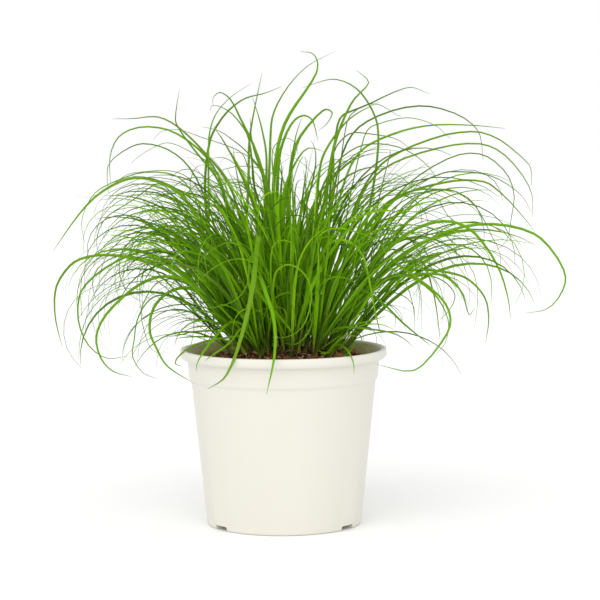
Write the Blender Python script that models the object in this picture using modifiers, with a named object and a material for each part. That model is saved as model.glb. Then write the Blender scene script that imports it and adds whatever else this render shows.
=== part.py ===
"""A pot of cat grass, a small sedge grown in a 12 cm nursery pot.

Metres, +Z up. The origin is on the floor at the middle of the pot's underside, and the
front of the plant faces -Y. The plant is a clump of shoots. Each shoot is one grown
piece: a short three-sided stem with a leaf growing from each of its three sides.
"""

import math
import random

import bmesh
import bpy
import numpy as np
from mathutils import Matrix, Vector
from mathutils.geometry import interpolate_bezier
from mathutils.kdtree import KDTree

MM = 0.001
TOUCH_GAP = 0.3 * MM

# The pot, from a standard 12 cm pot
RIM_RADIUS = 60.0 * MM
RIM_MOUTH_RADIUS = 57.3 * MM
RIM_HEIGHT = 102.6 * MM
LIP_DEPTH = 5.8 * MM
LIP_ROUNDING = 0.8 * MM
BAND_TOP_RADIUS = 55.9 * MM
BAND_FOOT_RADIUS = 54.9 * MM
BAND_FOOT_HEIGHT = 85.6 * MM
SHOULDER_DROP = 1.4 * MM
BODY_TOP_RADIUS = 53.7 * MM
BASE_RADIUS = 44.9 * MM
BASE_ROUNDING = 1.0 * MM
WALL = 1.3 * MM
FLOOR_THICKNESS = 4.2 * MM
POT_STEPS = 60

# The drainage grooves under the pot, and the hole in each
GROOVE_ANGLES = (-126.0, -54.0, 54.0, 126.0)
GROOVE_WIDTH = 11.0 * MM
GROOVE_HEIGHT = 2.8 * MM
GROOVE_INNER_RADIUS = 24.0 * MM
HOLE_RADIUS = 3.5 * MM
HOLE_RING_RADIUS = 31.0 * MM
HOLE_SIDES = 12

# The soil, mounded in the middle
SOIL_EDGE_DROP = 9.0 * MM
SOIL_MOUND = 7.5 * MM
SOIL_RINGS = 5
SOIL_STEPS = 48

# The gap in front of the clump and behind it, kept clear of leaves for water to go in
GAP_HALF_WIDTH = 10.0 * MM
GAP_INNER_DEPTH = 42.5 * MM

# Bark on the soil: place, turn and tilt in degrees, then length, width and thickness
CHIP_LIFT = 0.8 * MM
BARK_CHIPS = (
    (41.0, -9.0, 78.0, 58.0, 9.0, 7.0, 2.2),
    (17.0, -31.0, 15.0, 20.0, 8.0, 5.0, 2.2),
    (5.5, -33.5, -8.0, 10.0, 6.5, 3.5, 1.6),
    (-28.0, -22.5, -35.0, 25.0, 7.5, 4.5, 2.0),
    (33.0, -19.0, 50.0, 32.0, 7.5, 4.5, 1.8),
)

# The clump. Tilts and spreads are in degrees
SHOOT_COUNT = 46
CLUMP_CENTRE_X = 3.0 * MM
CLUMP_RADIUS = 35.0 * MM
CLUMP_FRONT_SHARE = 0.68
CLUMP_BACK_SHARE = 0.95
CLUMP_SEED = 210
GOLDEN_ANGLE = 137.508
STEM_RADIUS = 2.1 * MM
STEM_HEIGHT = 7.0 * MM
OUTER_TILT = 40.0
BACK_TILT_SHARE = 0.8
FRONT_TILT_SHARE = 0.45
LEAVES_PER_SHOOT = 3
LEAF_SEGMENTS = 7
LEADING_LEAF_SEGMENTS = 10
LEAF_RIDGE = 0.28
TAPER_POWER = 0.6
TIP_WIDTH = 0.5 * MM
LEAF_GAP = 0.5 * MM
ROUTE_STEP = 6.0 * MM
TEST_STEP = 3.0 * MM
BEND_WEIGHT = 30.0 * MM
WIDEST_LEAF = 4.0 * MM
STEM_ZONE = 16.0 * MM
POT_CLEARANCE = 0.8 * MM

# The rounded form that the plant's leaves fill, apart from those that stand out
SPREAD_CENTRE = (8.0 * MM, 0.0, 98.0 * MM)
SPREAD_LEFT = 136.0 * MM
SPREAD_RIGHT = 146.0 * MM
SPREAD_DEPTH = 112.0 * MM
SPREAD_HEIGHT = 128.0 * MM
SPREAD_POWER = 3.0
LOWEST_TIP = 86.0 * MM
MOST_TRIES = 160

# How far a leaf drawn by hand may move forward or back, in millimetres, tried in turn,
# and about how long its first step and the others are
FIRST_STEP = 12.0 * MM
STEP_OUT = 25.0 * MM
DEPTH_SHIFTS = (0, -3, 3, -6, 6, -9, 9, -13, 13, -18, 18, -24, 24, -30, 30, -38, 38)

# Leaves that stand out from the clump, each drawn by hand in millimetres: where it
# roots along X, how far back its tip lies, its width, then points (x, z) along it
LEADING_LEAVES = (
    (-2, -4, 2.6, ((-7, 205), (-6, 234), (1, 250), (14, 265), (31, 274))),
    (2, 8, 2.8, ((-5, 213), (4, 237), (13, 250), (20, 261), (21, 268), (18, 273), (11, 274))),
    (30, 12, 1.9, ((50, 180), (57, 217), (55, 234), (47, 249), (38, 256), (28, 258), (12, 253))),
    (12, -14, 2.6, ((27, 208), (33, 229), (41, 246), (50, 256), (43, 263))),
    (14, 16, 2.2, ((32, 233), (50, 243), (67, 251), (76, 253), (86, 249))),
    (-4, 22, 2.6, ((-3, 205), (1, 223), (7, 234), (13, 237), (18, 234), (21, 222))),
    (4, -22, 2.8, ((3, 200), (8, 221), (18, 235), (25, 241), (29, 239), (26, 233), (21, 229))),
    (-16, -6, 2.2, ((-19, 205), (-19, 219), (-17, 234), (-11, 262))),
    (-9, 16, 2.0, ((-9, 211), (-12, 231), (-17, 248))),
    (-3, -12, 2.6, ((-6, 190), (-15, 218), (-24, 237), (-29, 247), (-35, 251), (-39, 248), (-39, 243))),
    (-8, 26, 1.8, ((-19, 222), (-27, 236), (-35, 242), (-41, 243), (-42, 240))),
    (-30, 14, 1.9, ((-46, 188), (-43, 220), (-34, 237), (-22, 247), (-10, 250), (0, 254))),
    (-28, -16, 1.8, ((-42, 222), (-38, 238), (-28, 249), (-17, 256))),
    (-14, -20, 2.0, ((-32, 194), (-49, 217), (-60, 233), (-60, 241), (-58, 252))),
    (-12, 8, 2.2, ((-27, 194), (-42, 213), (-60, 231), (-72, 237), (-86, 236), (-98, 236))),
    (-14, 24, 2.0, (
        (-34, 203), (-50, 221), (-66, 229), (-82, 231),
        (-95, 226), (-101, 214), (-101, 198),
    )),
    (-20, 34, 1.6, ((-50, 205), (-66, 217), (-82, 221), (-93, 217), (-103, 208), (-103, 192))),
    (-24, -12, 3.4, ((-52, 190), (-78, 204), (-94, 200), (-108, 191), (-120, 177), (-131, 161))),
    (-26, -28, 2.8, (
        (-49, 140), (-66, 151), (-84, 158), (-102, 161),
        (-118, 156), (-129, 142), (-130, 124), (-126, 107),
    )),
    (-25, 12, 2.0, (
        (-58, 160), (-84, 161), (-105, 151), (-117, 138),
        (-120, 121), (-115, 105), (-104, 96), (-92, 97),
    )),
    (-24, -40, 2.6, (
        (-56, 148), (-80, 146), (-98, 129), (-106, 115),
        (-104, 102), (-97, 94), (-86, 91),
    )),
    (30, -10, 3.2, (
        (58, 150), (86, 169), (105, 177), (122, 177), (138, 173),
        (152, 163), (163, 145), (160, 133), (152, 125), (140, 123),
    )),
    (26, -26, 3.2, ((62, 165), (90, 179), (104, 175), (115, 164), (124, 149), (129, 132), (130, 121))),
    (24, 20, 2.8, ((60, 186), (90, 197), (117, 198), (128, 191), (141, 177), (148, 168))),
    (18, 30, 2.2, ((50, 205), (80, 221), (111, 227), (126, 223), (138, 214), (146, 206), (147, 195))),
    (20, -18, 2.0, ((46, 200), (76, 216), (110, 221), (124, 217), (136, 205), (143, 192), (143, 179))),
    (16, 4, 2.2, ((40, 214), (60, 225), (84, 231), (110, 231), (129, 229))),
    (14, 40, 1.8, ((36, 226), (60, 238), (82, 242), (98, 239), (110, 233), (117, 225), (119, 210))),
    (28, 6, 2.4, ((62, 145), (86, 148), (104, 144), (117, 132), (120, 118), (118, 104))),
    (30, 22, 2.8, ((56, 160), (78, 166), (92, 163), (103, 155), (109, 141))),
    (30, -34, 2.6, ((52, 142), (76, 148), (92, 146), (102, 137), (106, 124), (109, 128))),
    (22, -38, 2.8, ((48, 140), (68, 149), (84, 139), (94, 122), (92, 108), (84, 100))),
    (-8, -58, 4.0, ((-12, 160), (-13, 172), (-17, 140), (-24, 112), (-32, 93), (-42, 87))),
    (-8, -66, 2.8, (
        (-15, 140), (-13, 148), (-9, 138), (-5, 126),
        (-4, 113), (-5, 102), (-9, 85),
    )),
)

SOIL_EDGE_HEIGHT = RIM_HEIGHT - SOIL_EDGE_DROP


def outer_radius_at(height):
    """The pot's outside radius at a height."""
    if height > RIM_HEIGHT - LIP_DEPTH:
        return RIM_RADIUS
    if height > BAND_FOOT_HEIGHT:
        return BAND_TOP_RADIUS
    share = max(height, 0.0) / BAND_FOOT_HEIGHT
    return BASE_RADIUS + (BODY_TOP_RADIUS - BASE_RADIUS) * share


SOIL_RADIUS = BAND_FOOT_RADIUS - WALL - TOUCH_GAP


def soil_height_at(radius):
    share = min(radius / SOIL_RADIUS, 1.0)
    return SOIL_EDGE_HEIGHT + SOIL_MOUND * (1.0 - share * share)


def clear_scene():
    for obj in list(bpy.data.objects):
        bpy.data.objects.remove(obj, do_unlink=True)


def new_material(name, colour, roughness):
    material = bpy.data.materials.new(name)
    material.use_nodes = True
    shader = material.node_tree.nodes["Principled BSDF"]
    shader.inputs["Base Color"].default_value = (*colour, 1.0)
    shader.inputs["Roughness"].default_value = roughness
    shader.inputs["Metallic"].default_value = 0.0
    return material


def new_collection(name):
    collection = bpy.data.collections.new(name)
    bpy.context.scene.collection.children.link(collection)
    return collection


def add_object(name, mesh, collection, material=None):
    obj = bpy.data.objects.new(name, mesh)
    collection.objects.link(obj)
    if material is not None:
        obj.data.materials.append(material)
    return obj


def mesh_from(bm, name):
    mesh = bpy.data.meshes.new(name)
    bm.to_mesh(mesh)
    bm.free()
    return mesh


def turned(name, profile, steps, collection, material):
    """A solid turned about Z from a profile that starts and ends on the axis."""
    bm = bmesh.new()
    corners = [bm.verts.new((radius, 0.0, height)) for radius, height in profile]
    for start, end in zip(corners, corners[1:]):
        bm.edges.new((start, end))
    obj = add_object(name, mesh_from(bm, name), collection, material)
    screw = obj.modifiers.new("Turn", "SCREW")
    screw.steps = screw.render_steps = steps
    screw.use_merge_vertices = True
    screw.merge_threshold = 0.00001
    return obj


def pot_profile():
    """Up the inside from the middle of the floor, over the lip and down the outside."""
    lip_foot = RIM_HEIGHT - LIP_DEPTH
    shoulder_foot = BAND_FOOT_HEIGHT - SHOULDER_DROP
    return (
        (0.0, FLOOR_THICKNESS),
        (BASE_RADIUS - WALL, FLOOR_THICKNESS),
        (BODY_TOP_RADIUS - WALL, shoulder_foot),
        (BAND_FOOT_RADIUS - WALL, BAND_FOOT_HEIGHT),
        (BAND_TOP_RADIUS - WALL, lip_foot),
        (RIM_MOUTH_RADIUS - LIP_ROUNDING / 2, RIM_HEIGHT - LIP_ROUNDING),
        (RIM_MOUTH_RADIUS + LIP_ROUNDING / 2, RIM_HEIGHT),
        (RIM_RADIUS - LIP_ROUNDING, RIM_HEIGHT),
        (RIM_RADIUS, RIM_HEIGHT - LIP_ROUNDING),
        (RIM_RADIUS, lip_foot + LIP_ROUNDING / 2),
        (RIM_RADIUS - LIP_ROUNDING / 2, lip_foot),
        (BAND_TOP_RADIUS, lip_foot),
        (BAND_FOOT_RADIUS, BAND_FOOT_HEIGHT),
        (BODY_TOP_RADIUS, shoulder_foot),
        (BASE_RADIUS, BASE_ROUNDING),
        (BASE_RADIUS - BASE_ROUNDING, 0.0),
        (0.0, 0.0),
    )


def add_cutter(name, bm, collection):
    cutter = add_object(name, mesh_from(bm, name), collection)
    cutter.hide_render = True
    cutter.display_type = "WIRE"
    return cutter


def groove_cutter(angle, index, collection):
    """A bar along a radius, from inside the base out past its edge."""
    reach = BASE_RADIUS + 5 * MM - GROOVE_INNER_RADIUS
    middle = GROOVE_INNER_RADIUS + reach / 2
    bm = bmesh.new()
    bmesh.ops.create_cube(bm, size=1.0)
    bmesh.ops.scale(bm, vec=(reach, GROOVE_WIDTH, 2 * GROOVE_HEIGHT), verts=bm.verts)
    bmesh.ops.translate(bm, vec=(middle, 0.0, 0.0), verts=bm.verts)
    turn = Matrix.Rotation(math.radians(angle), 3, "Z")
    bmesh.ops.rotate(bm, matrix=turn, verts=bm.verts)
    return add_cutter(f"groove_cutter_{index}", bm, collection)


def hole_cutter(angle, index, collection):
    bm = bmesh.new()
    bmesh.ops.create_cone(
        bm,
        cap_ends=True,
        segments=HOLE_SIDES,
        radius1=HOLE_RADIUS,
        radius2=HOLE_RADIUS,
        depth=4 * FLOOR_THICKNESS,
    )
    turn = Matrix.Rotation(math.radians(angle), 3, "Z")
    place = turn @ Vector((HOLE_RING_RADIUS, 0.0, 0.0))
    bmesh.ops.translate(bm, vec=place, verts=bm.verts)
    return add_cutter(f"hole_cutter_{index}", bm, collection)


def add_pot(plant, cutters):
    plastic = new_material("cream_plastic", (0.86, 0.84, 0.75), 0.42)
    pot = turned("pot", pot_profile(), POT_STEPS, plant, plastic)
    for index, angle in enumerate(GROOVE_ANGLES, start=1):
        for cutter in (
            groove_cutter(angle - 90.0, index, cutters),
            hole_cutter(angle - 90.0, index, cutters),
        ):
            cut = pot.modifiers.new(cutter.name, "BOOLEAN")
            cut.object = cutter
            cut.operation = "DIFFERENCE"
            cut.solver = "EXACT"


def add_soil(plant):
    earth = new_material("potting_soil", (0.06, 0.032, 0.02), 0.95)
    floor = FLOOR_THICKNESS + TOUCH_GAP
    rings = [SOIL_RADIUS * index / SOIL_RINGS for index in range(SOIL_RINGS + 1)]
    profile = [(radius, soil_height_at(radius)) for radius in rings]
    profile.append((SOIL_RADIUS, BAND_FOOT_HEIGHT + 2 * TOUCH_GAP))
    profile.append((BODY_TOP_RADIUS - WALL - TOUCH_GAP, BAND_FOOT_HEIGHT - SHOULDER_DROP))
    profile.append((BASE_RADIUS - WALL - TOUCH_GAP, floor))
    profile.append((0.0, floor))
    turned("soil", profile, SOIL_STEPS, plant, earth)


def chip_place(chip):
    """Where a bark chip's middle lies: on the soil, raised by its tilt."""
    x, y, _, tilt, _, width, thickness = chip
    radius = math.hypot(x, y) * MM
    slope = math.radians(tilt)
    lift = (width * math.sin(slope) + thickness * math.cos(slope)) / 2 * MM
    return Vector((x * MM, y * MM, soil_height_at(radius) + lift + CHIP_LIFT))


def add_bark_chip(index, chip, plant, bark):
    """A torn flake: a slab whose ends are cut narrower than its middle."""
    _, _, turn, tilt, length, width, thickness = chip
    rng = random.Random(index)
    bm = bmesh.new()
    bmesh.ops.create_cone(
        bm,
        cap_ends=True,
        segments=7,
        radius1=0.5,
        radius2=0.42,
        depth=1.0,
    )
    for corner in bm.verts:
        corner.co.x *= rng.uniform(0.8, 1.0)
        corner.co.y *= rng.uniform(0.8, 1.0)
    size = Vector((length, width, thickness)) * MM
    bmesh.ops.scale(bm, vec=size, verts=bm.verts)
    chip_object = add_object(f"bark_chip_{index}", mesh_from(bm, "bark_chip"), plant, bark)
    chip_object.location = chip_place(chip)
    chip_object.rotation_euler = (math.radians(tilt), 0.0, math.radians(turn))


def smooth_run(points):
    """A smooth line through the points, bent at each as its neighbours lead."""
    slopes = []
    for index, point in enumerate(points):
        before = points[max(index - 1, 0)]
        after = points[min(index + 1, len(points) - 1)]
        reach = (point - before).length + (after - point).length
        slopes.append((after - before) / reach)
    run = [points[0]]
    for index in range(len(points) - 1):
        start, end = points[index], points[index + 1]
        third = (end - start).length / 3
        steps = max(3, round(3 * third / ROUTE_STEP)) + 1
        piece = interpolate_bezier(
            start, start + slopes[index] * third, end - slopes[index + 1] * third, end, steps
        )
        run += piece[1:]
    return run


class Shoot:
    """A shoot's place: its foot on the soil, the way it leans and its three sides."""

    def __init__(self, index, rng):
        share = (index + 0.5) / SHOOT_COUNT
        radius = CLUMP_RADIUS * math.sqrt(share) * rng.uniform(0.94, 1.03)
        angle = index * math.radians(GOLDEN_ANGLE) + rng.uniform(-0.08, 0.08)
        x = CLUMP_CENTRE_X + radius * math.cos(angle)
        y = radius * math.sin(angle)
        y *= CLUMP_BACK_SHARE if y > 0 else CLUMP_FRONT_SHARE
        lean = Vector((math.cos(angle), math.sin(angle), 0.0)) * radius / CLUMP_RADIUS
        lean.y *= BACK_TILT_SHARE if y > 0 else FRONT_TILT_SHARE
        tilt = math.radians(OUTER_TILT) * lean.length
        self.index = index
        self.axis = lean.normalized() * math.sin(tilt) + Vector((0.0, 0.0, math.cos(tilt)))
        rise = TOUCH_GAP + STEM_RADIUS * math.sin(tilt)
        self.foot = Vector((x, y, soil_height_at(math.hypot(x, y)) + rise))
        self.spin = rng.uniform(0.0, 2 * math.pi)
        self.upright = Vector((0.0, 0.0, 1.0)).rotation_difference(self.axis).to_matrix()

    def side(self, number):
        """The direction that one of the stem's sides faces, square to its axis."""
        angle = self.spin + number * 2 * math.pi / LEAVES_PER_SHOOT
        return self.upright @ Vector((math.cos(angle), math.sin(angle), 0.0))

    def leaf_start(self, number):
        """The middle of a side of the stem."""
        return (
            self.foot
            + self.axis * (STEM_HEIGHT / 3)
            + self.side(number) * (STEM_RADIUS * math.cos(math.pi / 3) * 2 / 3)
        )


class Leaf:
    """A leaf: the shoot and side that it grows from, its width, and sections along it."""

    def __init__(self, shoot, number, run, width, segments=LEAF_SEGMENTS):
        self.shoot = shoot
        self.number = number
        self.width = width
        self.stations = even_bends(run, segments)
        self.shares = shares_along(self.stations)

    def width_at(self, share):
        """Narrowing slowly from the stem to a long thin tip."""
        return TIP_WIDTH + (self.width - TIP_WIDTH) * (1.0 - share) ** TAPER_POWER


def even_bends(run, segments):
    """Sections along a line, closer together where it bends."""
    line = np.array(run)
    steps = np.diff(line, axis=0)
    lengths = np.linalg.norm(steps, axis=1)
    ways = steps / lengths[:, None]
    turns = np.arccos(np.clip((ways[1:] * ways[:-1]).sum(axis=1), -1.0, 1.0))
    bend = np.cumsum(lengths + BEND_WEIGHT * np.append(0.0, turns))
    bend = np.append(0.0, bend)
    marks = np.linspace(0.0, bend[-1], segments + 1)
    return np.stack([np.interp(marks, bend, line[:, axis]) for axis in range(3)], axis=1)


def shares_along(stations):
    """How far along the line each section lies, from 0 to 1."""
    lengths = np.append(0.0, np.cumsum(np.linalg.norm(np.diff(stations, axis=0), axis=1)))
    return lengths / lengths[-1]


def test_points(leaf):
    """Points along the faceted leaf, and half its width at each, for finding clashes."""
    lengths = np.linalg.norm(np.diff(leaf.stations, axis=0), axis=1)
    shares = np.linspace(0.0, 1.0, math.ceil(lengths.sum() / TEST_STEP))
    points = np.stack(
        [np.interp(shares, leaf.shares, leaf.stations[:, axis]) for axis in range(3)], axis=1
    )
    return points, leaf.width_at(shares) / 2


def clear_of_pot(points, halves):
    """False if a point is in the pot's wall, under its lip, in the soil or on a chip."""
    reach = halves + POT_CLEARANCE
    radius = np.hypot(points[:, 0], points[:, 1])
    height = points[:, 2]
    wall = np.array([outer_radius_at(z) for z in height + reach])
    outside = radius > wall + reach
    over = height > RIM_HEIGHT + reach
    in_gap = (abs(points[:, 0]) < GAP_HALF_WIDTH) & (abs(points[:, 1]) > GAP_INNER_DEPTH)
    inside = radius < BAND_FOOT_RADIUS - WALL - reach
    share = np.minimum(radius / SOIL_RADIUS, 1.0)
    above_soil = height > SOIL_EDGE_HEIGHT + SOIL_MOUND * (1.0 - share**2) + reach
    clear = over | outside | (inside & above_soil & ~in_gap)
    if not clear[2:].all():
        return False
    for chip in BARK_CHIPS:
        away = np.linalg.norm(points - np.array(chip_place(chip)), axis=1)
        if (away < chip[4] / 2 * MM + reach).any():
            return False
    return True


def within_spread(points):
    """True if the line stays in the form that the plant's leaves fill."""
    x, y, z = (points - np.array(SPREAD_CENTRE)).T
    reach = np.where(x < 0, SPREAD_LEFT, SPREAD_RIGHT)
    full = abs(x / reach) ** SPREAD_POWER + abs(y / SPREAD_DEPTH) ** SPREAD_POWER
    full += abs(z / SPREAD_HEIGHT) ** SPREAD_POWER
    return full.max() < 1.0 and points[:, 2].min() > LOWEST_TIP


class Clump:
    """The leaves placed so far, and the test that a new one keeps clear of them."""

    def __init__(self):
        self.leaves = []
        self.points = []
        self.halves = []
        self.owners = []
        self.tree = None

    def fits(self, leaf):
        points, halves = test_points(leaf)
        if not clear_of_pot(points, halves):
            return False
        if self.tree is None:
            return True
        foot = np.array(leaf.shoot.foot)
        widest = WIDEST_LEAF / 2
        slack = (TEST_STEP / 2) ** 2
        for point, half in zip(points, halves):
            near_stem = np.linalg.norm(point - foot) < STEM_ZONE
            for _, index, away in self.tree.find_range(point, half + widest + 2 * LEAF_GAP):
                if near_stem and self.owners[index] == leaf.shoot.index:
                    continue
                least = half + self.halves[index] + LEAF_GAP
                if away * away < least * least + slack:
                    return False
        return True

    def add(self, leaf):
        points, halves = test_points(leaf)
        self.leaves.append(leaf)
        self.points.extend(points.tolist())
        self.halves.extend(halves.tolist())
        self.owners.extend([leaf.shoot.index] * len(points))
        self.tree = KDTree(len(self.points))
        for index, point in enumerate(self.points):
            self.tree.insert(point, index)
        self.tree.balance()


def leading_run(shoot, number, depth, points):
    """The line of a leaf drawn by hand, from its stem through its points."""
    start = shoot.leaf_start(number)
    rise = points[0][1] * MM - start.z
    lean = (shoot.axis + shoot.side(number) * 0.15).normalized()
    run = [start, start + lean * FIRST_STEP]
    for index, (x, z) in enumerate(points):
        share = (rise + index * STEP_OUT) / (rise + len(points) * STEP_OUT)
        run.append(Vector((x * MM, start.y + (depth * MM - start.y) * share, z * MM)))
    return smooth_run(run)


def free_side(slots, root_x, depth, first_x):
    """The free side of a shoot that best suits a leaf's root and the way it goes."""
    heading = Vector((first_x - root_x, 0.8 * depth, 0.0)) / 40

    def misfit(slot):
        shoot, number = slot
        away = math.hypot(shoot.foot.x / MM - root_x, shoot.foot.y / MM - 0.4 * depth)
        return away - 9.0 * shoot.side(number).dot(heading)

    return min(slots, key=misfit)


def place_leading_leaves(clump, slots):
    """Grows each leaf drawn by hand, a little further forward or back where it must be."""
    for root_x, depth, width, points in LEADING_LEAVES:
        slot = free_side(slots, root_x, depth, points[0][0])
        for shift in DEPTH_SHIFTS:
            run = leading_run(*slot, depth + shift, points)
            leaf = Leaf(*slot, run, width * MM, LEADING_LEAF_SEGMENTS)
            if clump.fits(leaf):
                break
        else:
            raise RuntimeError(f"no room for the leaf that ends at {points[-1]}")
        slots.remove(slot)
        clump.add(leaf)


def arching_run(start, heading, length, nod, power, swirl):
    """A line that leaves along heading and nods over by an angle that grows along it."""
    lean = math.acos(heading.z)
    azimuth = math.atan2(heading.y, heading.x)
    steps = max(8, round(length / ROUTE_STEP))
    run = [start]
    for index in range(steps):
        share = (index + 0.5) / steps
        angle = lean + nod * share**power
        way = azimuth + swirl * share * share
        direction = Vector(
            (math.sin(angle) * math.cos(way), math.sin(angle) * math.sin(way), math.cos(angle))
        )
        run.append(run[-1] + direction * (length / steps))
    return run


def arching_leaf(shoot, number, rng):
    """A leaf drawn by chance. Those to the sides arch right over."""
    spread = math.radians(rng.uniform(4.0, 20.0))
    heading = shoot.axis + shoot.side(number) * math.tan(spread)
    heading.normalize()
    flat = math.hypot(heading.x, heading.y)
    sideways = abs(heading.x) / max(flat, 0.2)
    reach = sideways * min(1.0, flat / 0.6)
    length = (rng.uniform(95.0, 150.0) + 65.0 * reach * rng.uniform(0.5, 1.2)) * MM
    nod = math.radians(rng.uniform(8.0, 48.0) + 85.0 * reach * rng.uniform(0.6, 1.3))
    power = rng.uniform(1.2, 2.4)
    swirl = math.radians(rng.uniform(-35.0, 35.0))
    run = arching_run(shoot.leaf_start(number), heading, length, nod, power, swirl)
    return Leaf(shoot, number, run, rng.uniform(2.0, 3.3) * MM)


def place_other_leaves(clump, slots, rng):
    """Grows a leaf on each side that is left, where one fits between its neighbours."""
    for shoot, number in slots:
        for _ in range(MOST_TRIES):
            leaf = arching_leaf(shoot, number, rng)
            if within_spread(leaf.stations) and clump.fits(leaf):
                clump.add(leaf)
                break


def grow_clump():
    """Every shoot, and every leaf with its line, the same on each run."""
    rng = random.Random(CLUMP_SEED)
    shoots = [Shoot(index, rng) for index in range(SHOOT_COUNT)]
    slots = [(shoot, number) for shoot in shoots for number in range(LEAVES_PER_SHOOT)]
    clump = Clump()
    place_leading_leaves(clump, slots)
    place_other_leaves(clump, slots, rng)
    return shoots, clump.leaves


def stem_of(shoot):
    """The stem, as a three-sided cone whose sides face the ways that its leaves leave."""
    bm = bmesh.new()
    bmesh.ops.create_cone(
        bm,
        cap_ends=True,
        segments=LEAVES_PER_SHOOT,
        radius1=STEM_RADIUS,
        radius2=0.0,
        depth=STEM_HEIGHT,
    )
    bmesh.ops.remove_doubles(bm, verts=bm.verts, dist=0.01 * MM)
    bm.normal_update()
    side = next(face for face in bm.faces if face.normal.z > 0)
    turn = shoot.spin - math.atan2(side.normal.y, side.normal.x)
    place = (
        Matrix.Translation(shoot.foot + shoot.axis * STEM_HEIGHT / 2)
        @ shoot.upright.to_4x4()
        @ Matrix.Rotation(turn, 4, "Z")
    )
    bmesh.ops.transform(bm, matrix=place, verts=bm.verts)
    bm.normal_update()
    return bm


def sides_of(bm, shoot):
    """The stem's sides, in the order of the leaves that grow from them."""
    return [
        max(bm.faces, key=lambda face: face.normal.dot(shoot.side(number) + shoot.axis))
        for number in range(LEAVES_PER_SHOOT)
    ]


def grow_leaf(bm, side, leaf):
    """Draws a side of the stem out along the leaf's line, as a ridged blade."""
    shoot = leaf.shoot
    across = shoot.axis.cross(shoot.side(leaf.number)).normalized()
    middle = side.calc_center_median()
    places = []
    for corner in side.verts:
        if (corner.co - shoot.foot).dot(shoot.axis) > STEM_HEIGHT / 2:
            places.append(0)
        else:
            places.append(1 if (corner.co - middle).dot(across) > 0 else -1)
    stations = [Vector(station) for station in leaf.stations]
    along = (stations[1] - stations[0]).normalized()
    for index in range(1, len(stations)):
        after = stations[min(index + 1, len(stations) - 1)]
        heading = (after - stations[index - 1]).normalized()
        across = along.rotation_difference(heading) @ across
        across = (across - heading * across.dot(heading)).normalized()
        along = heading
        above = along.cross(across)
        half = leaf.width_at(leaf.shares[index]) / 2
        side = bmesh.ops.extrude_discrete_faces(bm, faces=[side])["faces"][0]
        for corner, place in zip(side.verts, places):
            if place == 0:
                corner.co = stations[index] + above * (2 * LEAF_RIDGE * half)
            else:
                corner.co = stations[index] + across * (place * half)


def add_shoots(plant):
    green = new_material("grass_leaf", (0.09, 0.27, 0.015), 0.45)
    shoots, leaves = grow_clump()
    for shoot in shoots:
        bm = stem_of(shoot)
        sides = sides_of(bm, shoot)
        for leaf in leaves:
            if leaf.shoot is shoot:
                grow_leaf(bm, sides[leaf.number], leaf)
        name = f"shoot_{shoot.index + 1:02d}"
        add_object(name, mesh_from(bm, name), plant, green)


def main():
    clear_scene()
    plant = new_collection("potted_cat_grass")
    cutters = new_collection("cutters")
    add_pot(plant, cutters)
    add_soil(plant)
    bark = new_material("pine_bark", (0.32, 0.19, 0.11), 0.85)
    for index, chip in enumerate(BARK_CHIPS, start=1):
        add_bark_chip(index, chip, plant, bark)
    add_shoots(plant)


main()
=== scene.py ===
"""Potted cat grass: a clump of fine, arching sedge leaves in a cream 12 cm nursery pot.

Metres, +Z up. The origin is on the floor at the middle of the pot's underside, and the
front of the plant faces -Y. Run as a script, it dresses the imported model, whose pieces
are all in the same place, and sets up a small studio round it.
"""

import math
import random
from collections import namedtuple

import bmesh
import bpy
import numpy as np
from bpy.props import FloatProperty, FloatVectorProperty, IntProperty, PointerProperty
from mathutils import Matrix, Vector, noise
from mathutils.geometry import interpolate_bezier
from mathutils.kdtree import KDTree


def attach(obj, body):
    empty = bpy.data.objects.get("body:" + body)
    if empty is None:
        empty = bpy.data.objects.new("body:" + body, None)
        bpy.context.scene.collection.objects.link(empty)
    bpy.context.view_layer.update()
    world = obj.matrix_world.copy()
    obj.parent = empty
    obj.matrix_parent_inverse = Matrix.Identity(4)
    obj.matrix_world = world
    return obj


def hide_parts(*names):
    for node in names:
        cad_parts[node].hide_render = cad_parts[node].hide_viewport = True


bl_info = {
    "name": "Potted cat grass",
    "version": (1, 0, 0),
    "blender": (4, 5, 0),
    "location": "3D View > Sidebar > Cat grass",
    "description": "Adds a pot of cat grass: the pot, its soil and bark, and the clump of leaves",
    "category": "Object",
}

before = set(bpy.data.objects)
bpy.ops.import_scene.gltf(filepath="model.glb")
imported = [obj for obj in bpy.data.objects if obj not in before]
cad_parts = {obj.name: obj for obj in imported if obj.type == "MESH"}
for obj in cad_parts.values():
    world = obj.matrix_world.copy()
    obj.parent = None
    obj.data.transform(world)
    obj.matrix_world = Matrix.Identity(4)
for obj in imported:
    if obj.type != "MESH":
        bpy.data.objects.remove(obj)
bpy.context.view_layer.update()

MM = 0.001
TOUCH_GAP = 0.3 * MM
MERGE_DISTANCE = 0.005 * MM

# The pot
RIM_RADIUS = 60.0 * MM
RIM_MOUTH_RADIUS = 57.3 * MM
RIM_HEIGHT = 102.6 * MM
LIP_DEPTH = 5.8 * MM
BAND_TOP_RADIUS = 55.9 * MM
BAND_FOOT_RADIUS = 54.9 * MM
BAND_FOOT_HEIGHT = 85.6 * MM
SHOULDER_DROP = 1.4 * MM
BODY_TOP_RADIUS = 53.7 * MM
BASE_RADIUS = 44.9 * MM
WALL = 1.3 * MM
FLOOR_THICKNESS = 4.2 * MM
POT_STEPS = 144

# The stain inside the pot above the soil, which is also painted shade and painted green
# light from the leaves: how far under the rim it starts and is full, how far it fades at
# the foot of the band, and where the wall's inside begins. The middle of the lip's wall
# leans out by a share of its outside
STAIN_AND_SHADE_START = 0.3 * MM
STAIN_AND_SHADE_FULL = 1.8 * MM
STAIN_AND_SHADE_FADE = 1.0 * MM
STAIN_AND_SHADE_EDGE = 0.3 * MM
LIP_LEAN_SHARE = 0.8

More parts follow.
